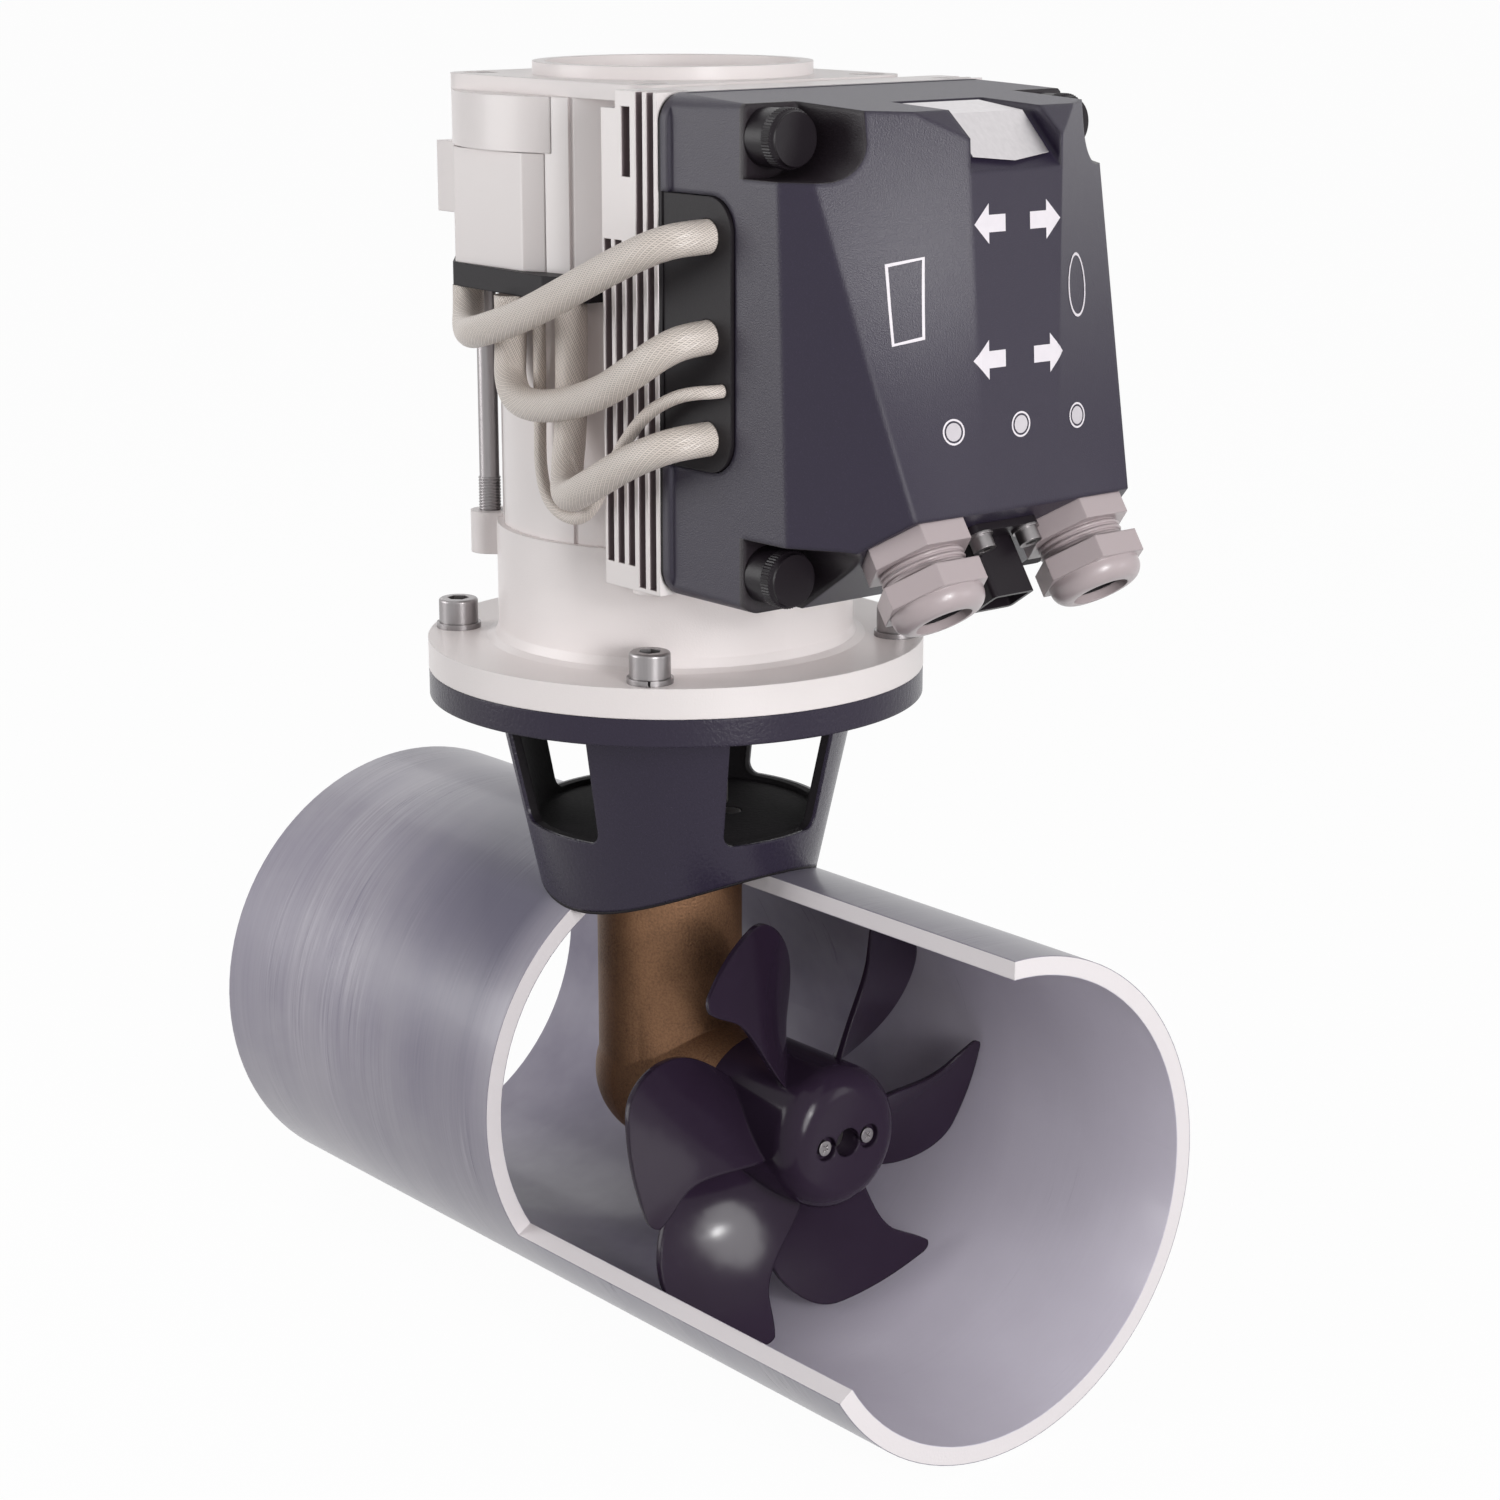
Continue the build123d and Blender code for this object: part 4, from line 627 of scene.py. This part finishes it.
def flatShape(built, outline, step):
    # an outline in y and z, cut into a fine grid so that it follows the face
    drawn = bmesh.new()
    drawn.faces.new([drawn.verts.new((0, y, z)) for y, z in outline])
    for axis, spots in ((Vector((0, 1, 0)), [p[0] for p in outline]), (Vector((0, 0, 1)), [p[1] for p in outline])):
        low, high = min(spots), max(spots)
        count = max(1, int((high - low) / step))
        for k in range(1, count):
            bmesh.ops.bisect_plane(drawn, geom=drawn.verts[:] + drawn.edges[:] + drawn.faces[:],
                                   plane_co=axis * (low + (high - low) * k / count), plane_no=axis)
    bmesh.ops.triangulate(drawn, faces=drawn.faces[:])
    copies = {v: built.verts.new(onFace(v.co.y, v.co.z)) for v in drawn.verts}
    for f in drawn.faces:
        made = built.faces.new([copies[v] for v in f.verts])
        made.normal_update()
        if made.normal.x < 0:
            made.normal_flip()
    drawn.free()


def ringShape(built, y, z, wide, tall, line, sides=40):
    for k in range(sides):
        a, b = 2 * math.pi * k / sides, 2 * math.pi * (k + 1) / sides
        flatShape(built, [(y + (wide - c) * math.cos(t), z + (tall - c) * math.sin(t))
                          for t, c in ((a, 0), (b, 0), (b, line), (a, line))], 3)


printed = bmesh.new()
for y, z, way, length, half in marks["arrows"]:
    neck, back = y + way * (length / 2 - marks["headLength"]), y - way * length / 2
    tip, deep = y + way * length / 2, marks["shaftHalf"]
    flatShape(printed, [(back, z - deep), (neck, z - deep), (neck, z + deep), (back, z + deep)], marks["step"])
    flatShape(printed, [(neck, z - half), (tip, z), (neck, z + half)], marks["step"])
line = marks["line"]
corners = marks["frame"]
middle = [sum(corner[i] for corner in corners) / 4 for i in (0, 1)]
inner = [tuple(c + (line if c < m else -line) for c, m in zip(corner, middle)) for corner in corners]
for k in range(4):
    j = (k + 1) % 4
    flatShape(printed, [corners[k], corners[j], inner[j], inner[k]], marks["step"])
ringShape(printed, *marks["ring"], line)
radius, thin, sides = marks["lampRing"]
for y, z in marks["lamps"]:
    ringShape(printed, y, z, radius, radius, thin, sides)
marksMesh = bpy.data.meshes.new("printedMarks")
printed.to_mesh(marksMesh)
printed.free()
ink = plainPaint("markInk", marks["colour"], rough=0.5, metal=0, grain=300, depth=0.05)
newPiece("printedMarks", marksMesh, "cover", ink)

windows = bmesh.new()
radius, sides = marks["lampWindow"]
turns = [2 * math.pi * k / sides for k in range(sides)]
for y, z in marks["lamps"]:
    outline = [(y + radius * math.cos(t), z + radius * math.sin(t)) for t in turns]
    flatShape(windows, outline, marks["step"])
windowMesh = bpy.data.meshes.new("lampWindows")
windows.to_mesh(windowMesh)
windows.free()
lens = plainPaint("lampLens", marks["lensColour"], rough=0.2, metal=0, grain=300, depth=0.02)
newPiece("lampWindows", windowMesh, "cover", lens)
print("cover marks made")


# ridges: screw threads on the glands and on the ends of the tie rods, one ring repeated along its axis
def ridgeTree():
    tree = bpy.data.node_groups.new("ridges", "GeometryNodeTree")
    face = tree.interface
    face.new_socket("Geometry", in_out="OUTPUT", socket_type="NodeSocketGeometry")
    wanted = (("Radius", "NodeSocketFloat"), ("Depth", "NodeSocketFloat"), ("Pitch", "NodeSocketFloat"),
              ("Count", "NodeSocketInt"), ("Sides", "NodeSocketInt"), ("Material", "NodeSocketMaterial"))
    for name, kind in wanted:
        face.new_socket(name, in_out="INPUT", socket_type=kind)
    add = tree.nodes.new
    link = tree.links.new
    given, result = add("NodeGroupInput"), add("NodeGroupOutput")
    circle = add("GeometryNodeCurvePrimitiveCircle")
    link(given.outputs["Sides"], circle.inputs["Resolution"])
    link(given.outputs["Radius"], circle.inputs["Radius"])
    profile = add("GeometryNodeCurvePrimitiveCircle")
    profile.inputs["Resolution"].default_value = profileSides
    link(given.outputs["Depth"], profile.inputs["Radius"])
    ring = add("GeometryNodeCurveToMesh")
    link(circle.outputs["Curve"], ring.inputs["Curve"])
    link(profile.outputs["Curve"], ring.inputs["Profile Curve"])
    row = add("GeometryNodeMeshLine")
    link(given.outputs["Count"], row.inputs["Count"])
    lift = add("ShaderNodeCombineXYZ")
    link(given.outputs["Pitch"], lift.inputs["Z"])
    link(lift.outputs[0], row.inputs["Offset"])
    repeat = add("GeometryNodeInstanceOnPoints")
    link(row.outputs["Mesh"], repeat.inputs["Points"])
    link(ring.outputs["Mesh"], repeat.inputs["Instance"])
    real = add("GeometryNodeRealizeInstances")
    link(repeat.outputs["Instances"], real.inputs["Geometry"])
    finish = add("GeometryNodeSetMaterial")
    link(real.outputs["Geometry"], finish.inputs["Geometry"])
    link(given.outputs["Material"], finish.inputs["Material"])
    link(finish.outputs["Geometry"], result.inputs["Geometry"])
    return tree


def grown(tree, **values):  # one plain mesh from a tree with these inputs
    holder = bpy.data.objects.new("growing", bpy.data.meshes.new("growing"))
    bpy.context.scene.collection.objects.link(holder)
    modifier = holder.modifiers.new("grow", "NODES")
    modifier.node_group = tree
    for item in tree.interface.items_tree:
        if item.in_out == "INPUT" and item.name in values:
            modifier[item.identifier] = values[item.name]
    bpy.context.view_layer.update()
    ready = holder.evaluated_get(bpy.context.evaluated_depsgraph_get())
    mesh = bpy.data.meshes.new_from_object(ready)
    bpy.data.objects.remove(holder)
    return mesh


def joined(name, meshes):
    whole = bmesh.new()
    for mesh in meshes:
        whole.from_mesh(mesh)
    for f in whole.faces:
        f.smooth = True
    bmesh.ops.recalc_face_normals(whole, faces=whole.faces[:])
    mesh = bpy.data.meshes.new(name)
    whole.to_mesh(mesh)
    whole.free()
    return mesh


def placed(mesh, origin, axis):
    turn = Vector((0, 0, 1)).rotation_difference(Vector(axis)).to_matrix().to_4x4()
    mesh.transform(turn)
    for v in mesh.vertices:
        v.co += Vector(origin)
    return mesh


slant = (39, 58)  # the gland face's rise: out and down
slantRun = math.hypot(slant[1], slant[0])
glandThreads = {"radius": 0.0151, "depth": 0.0008, "pitch": 0.0022, "count": 3, "sides": 64, "start": 0.0093,
                "places": (-39.4, 39.4), "axis": (slant[0] / slantRun, 0, -slant[1] / slantRun), "x": 0.1834,
                "z": 0.2602}
rodThreads = {"radius": 0.00412, "depth": 0.00045, "pitch": 0.00125, "count": 11, "sides": 36, "z": 0.2408,
              "spots": 53.7}
profileSides = 6
ridges = ridgeTree()
axis = Vector(glandThreads["axis"])
meshes = []
for y in glandThreads["places"]:
    made = grown(ridges, Radius=glandThreads["radius"], Depth=glandThreads["depth"], Pitch=glandThreads["pitch"],
                 Count=glandThreads["count"], Sides=glandThreads["sides"], Material=glandPlastic)
    start = Vector((glandThreads["x"], y * mm, glandThreads["z"])) + axis * glandThreads["start"]
    meshes.append(placed(made, start, axis))
newPiece("glandThreads", joined("glandThreads", meshes), "cover", glandPlastic)
meshes = []
for x, y in ((-1, -1), (-1, 1), (1, 1), (1, -1)):
    made = grown(ridges, Radius=rodThreads["radius"], Depth=rodThreads["depth"], Pitch=rodThreads["pitch"],
                 Count=rodThreads["count"], Sides=rodThreads["sides"], Material=steel)
    meshes.append(placed(made, (x * rodThreads["spots"] * mm, y * rodThreads["spots"] * mm, rodThreads["z"]),
                         (0, 0, 1)))
newPiece("rodThreads", joined("rodThreads", meshes), "thruster", steel)
print("threads made")

# knobs: a smooth barrel with a finely knurled band at its front edge
barrels = {
    "names": ("upperNear", "lowerNear", "upperFar", "lowerFar"),
    "bodies": ("upper_near_knob", "lower_near_knob", "upper_far_knob", "lower_far_knob"),
    "places": ((-67, 400), (-67, 245), (67, 400), (67, 245)),
    # along x, radius, depth of the knurl
    "rings": ((136.4, 9.0, 0.0), (136.4, 10.3, 0.0), (145.2, 10.3, 0.0), (145.6, 10.7, 0.35), (149.6, 10.7, 0.35),
              (150.2, 9.9, 0.0), (151.9, 9.0, 0.0)),
    "teeth": 56,
}


def barrelMesh(name, y, z):
    built = bmesh.new()
    sides = barrels["teeth"] * 2
    rings = []
    for x, radius, cut in barrels["rings"]:
        rings.append([built.verts.new((x * mm, (y + r * math.cos(t)) * mm, (z + r * math.sin(t)) * mm))
                      for r, t in ((radius - cut * (k % 2), 2 * math.pi * k / sides) for k in range(sides))])
    for first, second in zip(rings, rings[1:]):
        for k in range(sides):
            j = (k + 1) % sides
            built.faces.new((first[k], first[j], second[j], second[k]))
    built.faces.new(rings[0])
    built.faces.new(rings[-1])
    bmesh.ops.recalc_face_normals(built, faces=built.faces[:])
    mesh = bpy.data.meshes.new(name)
    built.to_mesh(mesh)
    built.free()
    return mesh


for name, body, (y, z) in zip(barrels["names"], barrels["bodies"], barrels["places"]):
    newPiece(name + "Barrel", barrelMesh(name + "Barrel", y, z), body, knobPlastic)
print("knob barrels made")

# the studio
stage = bpy.data.meshes.new("floor")
half = studio["floorHalf"]
stage.from_pydata([(x * half, y * half, studio["floorHeight"]) for x, y in ((-1, -1), (1, -1), (1, 1), (-1, 1))],
                  [], [(0, 1, 2, 3)])
floor = bpy.data.objects.new("floor", stage)
bpy.context.scene.collection.objects.link(floor)
floorPaint = Paint("paleFloor")
paleGlow = floorPaint.node("ShaderNodeEmission", sockets={"Color": studio["floorColour"], "Strength": 1.0})
seen = floorPaint.tree.nodes.new("ShaderNodeLightPath")
mixed = floorPaint.tree.nodes.new("ShaderNodeMixShader")
share = Wire(floorPaint, seen.outputs["Is Camera Ray"])
for kind in ("Is Glossy Ray", "Is Transmission Ray"):
    share = share.maths("MAXIMUM", Wire(floorPaint, seen.outputs[kind]))
floorPaint.set(colour=floorPaint.blend(share, studio["floorBounce"], (0.9, 0.9, 0.9, 1)), rough=0.9, gloss=0.0)
share = share * studio["floorShare"]
floorPaint.tree.links.new(share.socket, mixed.inputs[0])
floorPaint.tree.links.new(floorPaint.shader.outputs[0], mixed.inputs[1])
floorPaint.tree.links.new(paleGlow.socket, mixed.inputs[2])
floorPaint.tree.links.new(mixed.outputs[0], floorPaint.tree.nodes["Material Output"].inputs[0])
stage.materials.append(floorPaint.material)

world = bpy.context.scene.world or bpy.data.worlds.new("room")
bpy.context.scene.world = world
world.use_nodes = True
sky = world.node_tree
background = sky.nodes["Background"]
background.inputs["Color"].default_value = (1, 1, 1, 1)
rays = sky.nodes.new("ShaderNodeLightPath")
both = rays.outputs["Is Camera Ray"]
for kind in ("Is Glossy Ray", "Is Transmission Ray"):
    largest = sky.nodes.new("ShaderNodeMath")
    largest.operation = "MAXIMUM"
    sky.links.new(both, largest.inputs[0])
    sky.links.new(rays.outputs[kind], largest.inputs[1])
    both = largest.outputs[0]
level = sky.nodes.new("ShaderNodeMapRange")
level.inputs["To Min"].default_value = studio["roomGlow"]
level.inputs["To Max"].default_value = 1.0
sky.links.new(both, level.inputs["Value"])
sky.links.new(level.outputs[0], background.inputs["Strength"])

for number, (place, aim, width, height, watts) in enumerate(studio["lamps"], start=1):
    light = bpy.data.lights.new(f"softbox{number}", "AREA")
    light.shape = "ELLIPSE"
    light.size, light.size_y = width, height
    light.energy = watts
    lamp = bpy.data.objects.new(f"softbox{number}", light)
    bpy.context.scene.collection.objects.link(lamp)
    lamp.location = place
    lamp.rotation_euler = (Vector(aim) - Vector(place)).to_track_quat("-Z", "Y").to_euler()
print("studio set")
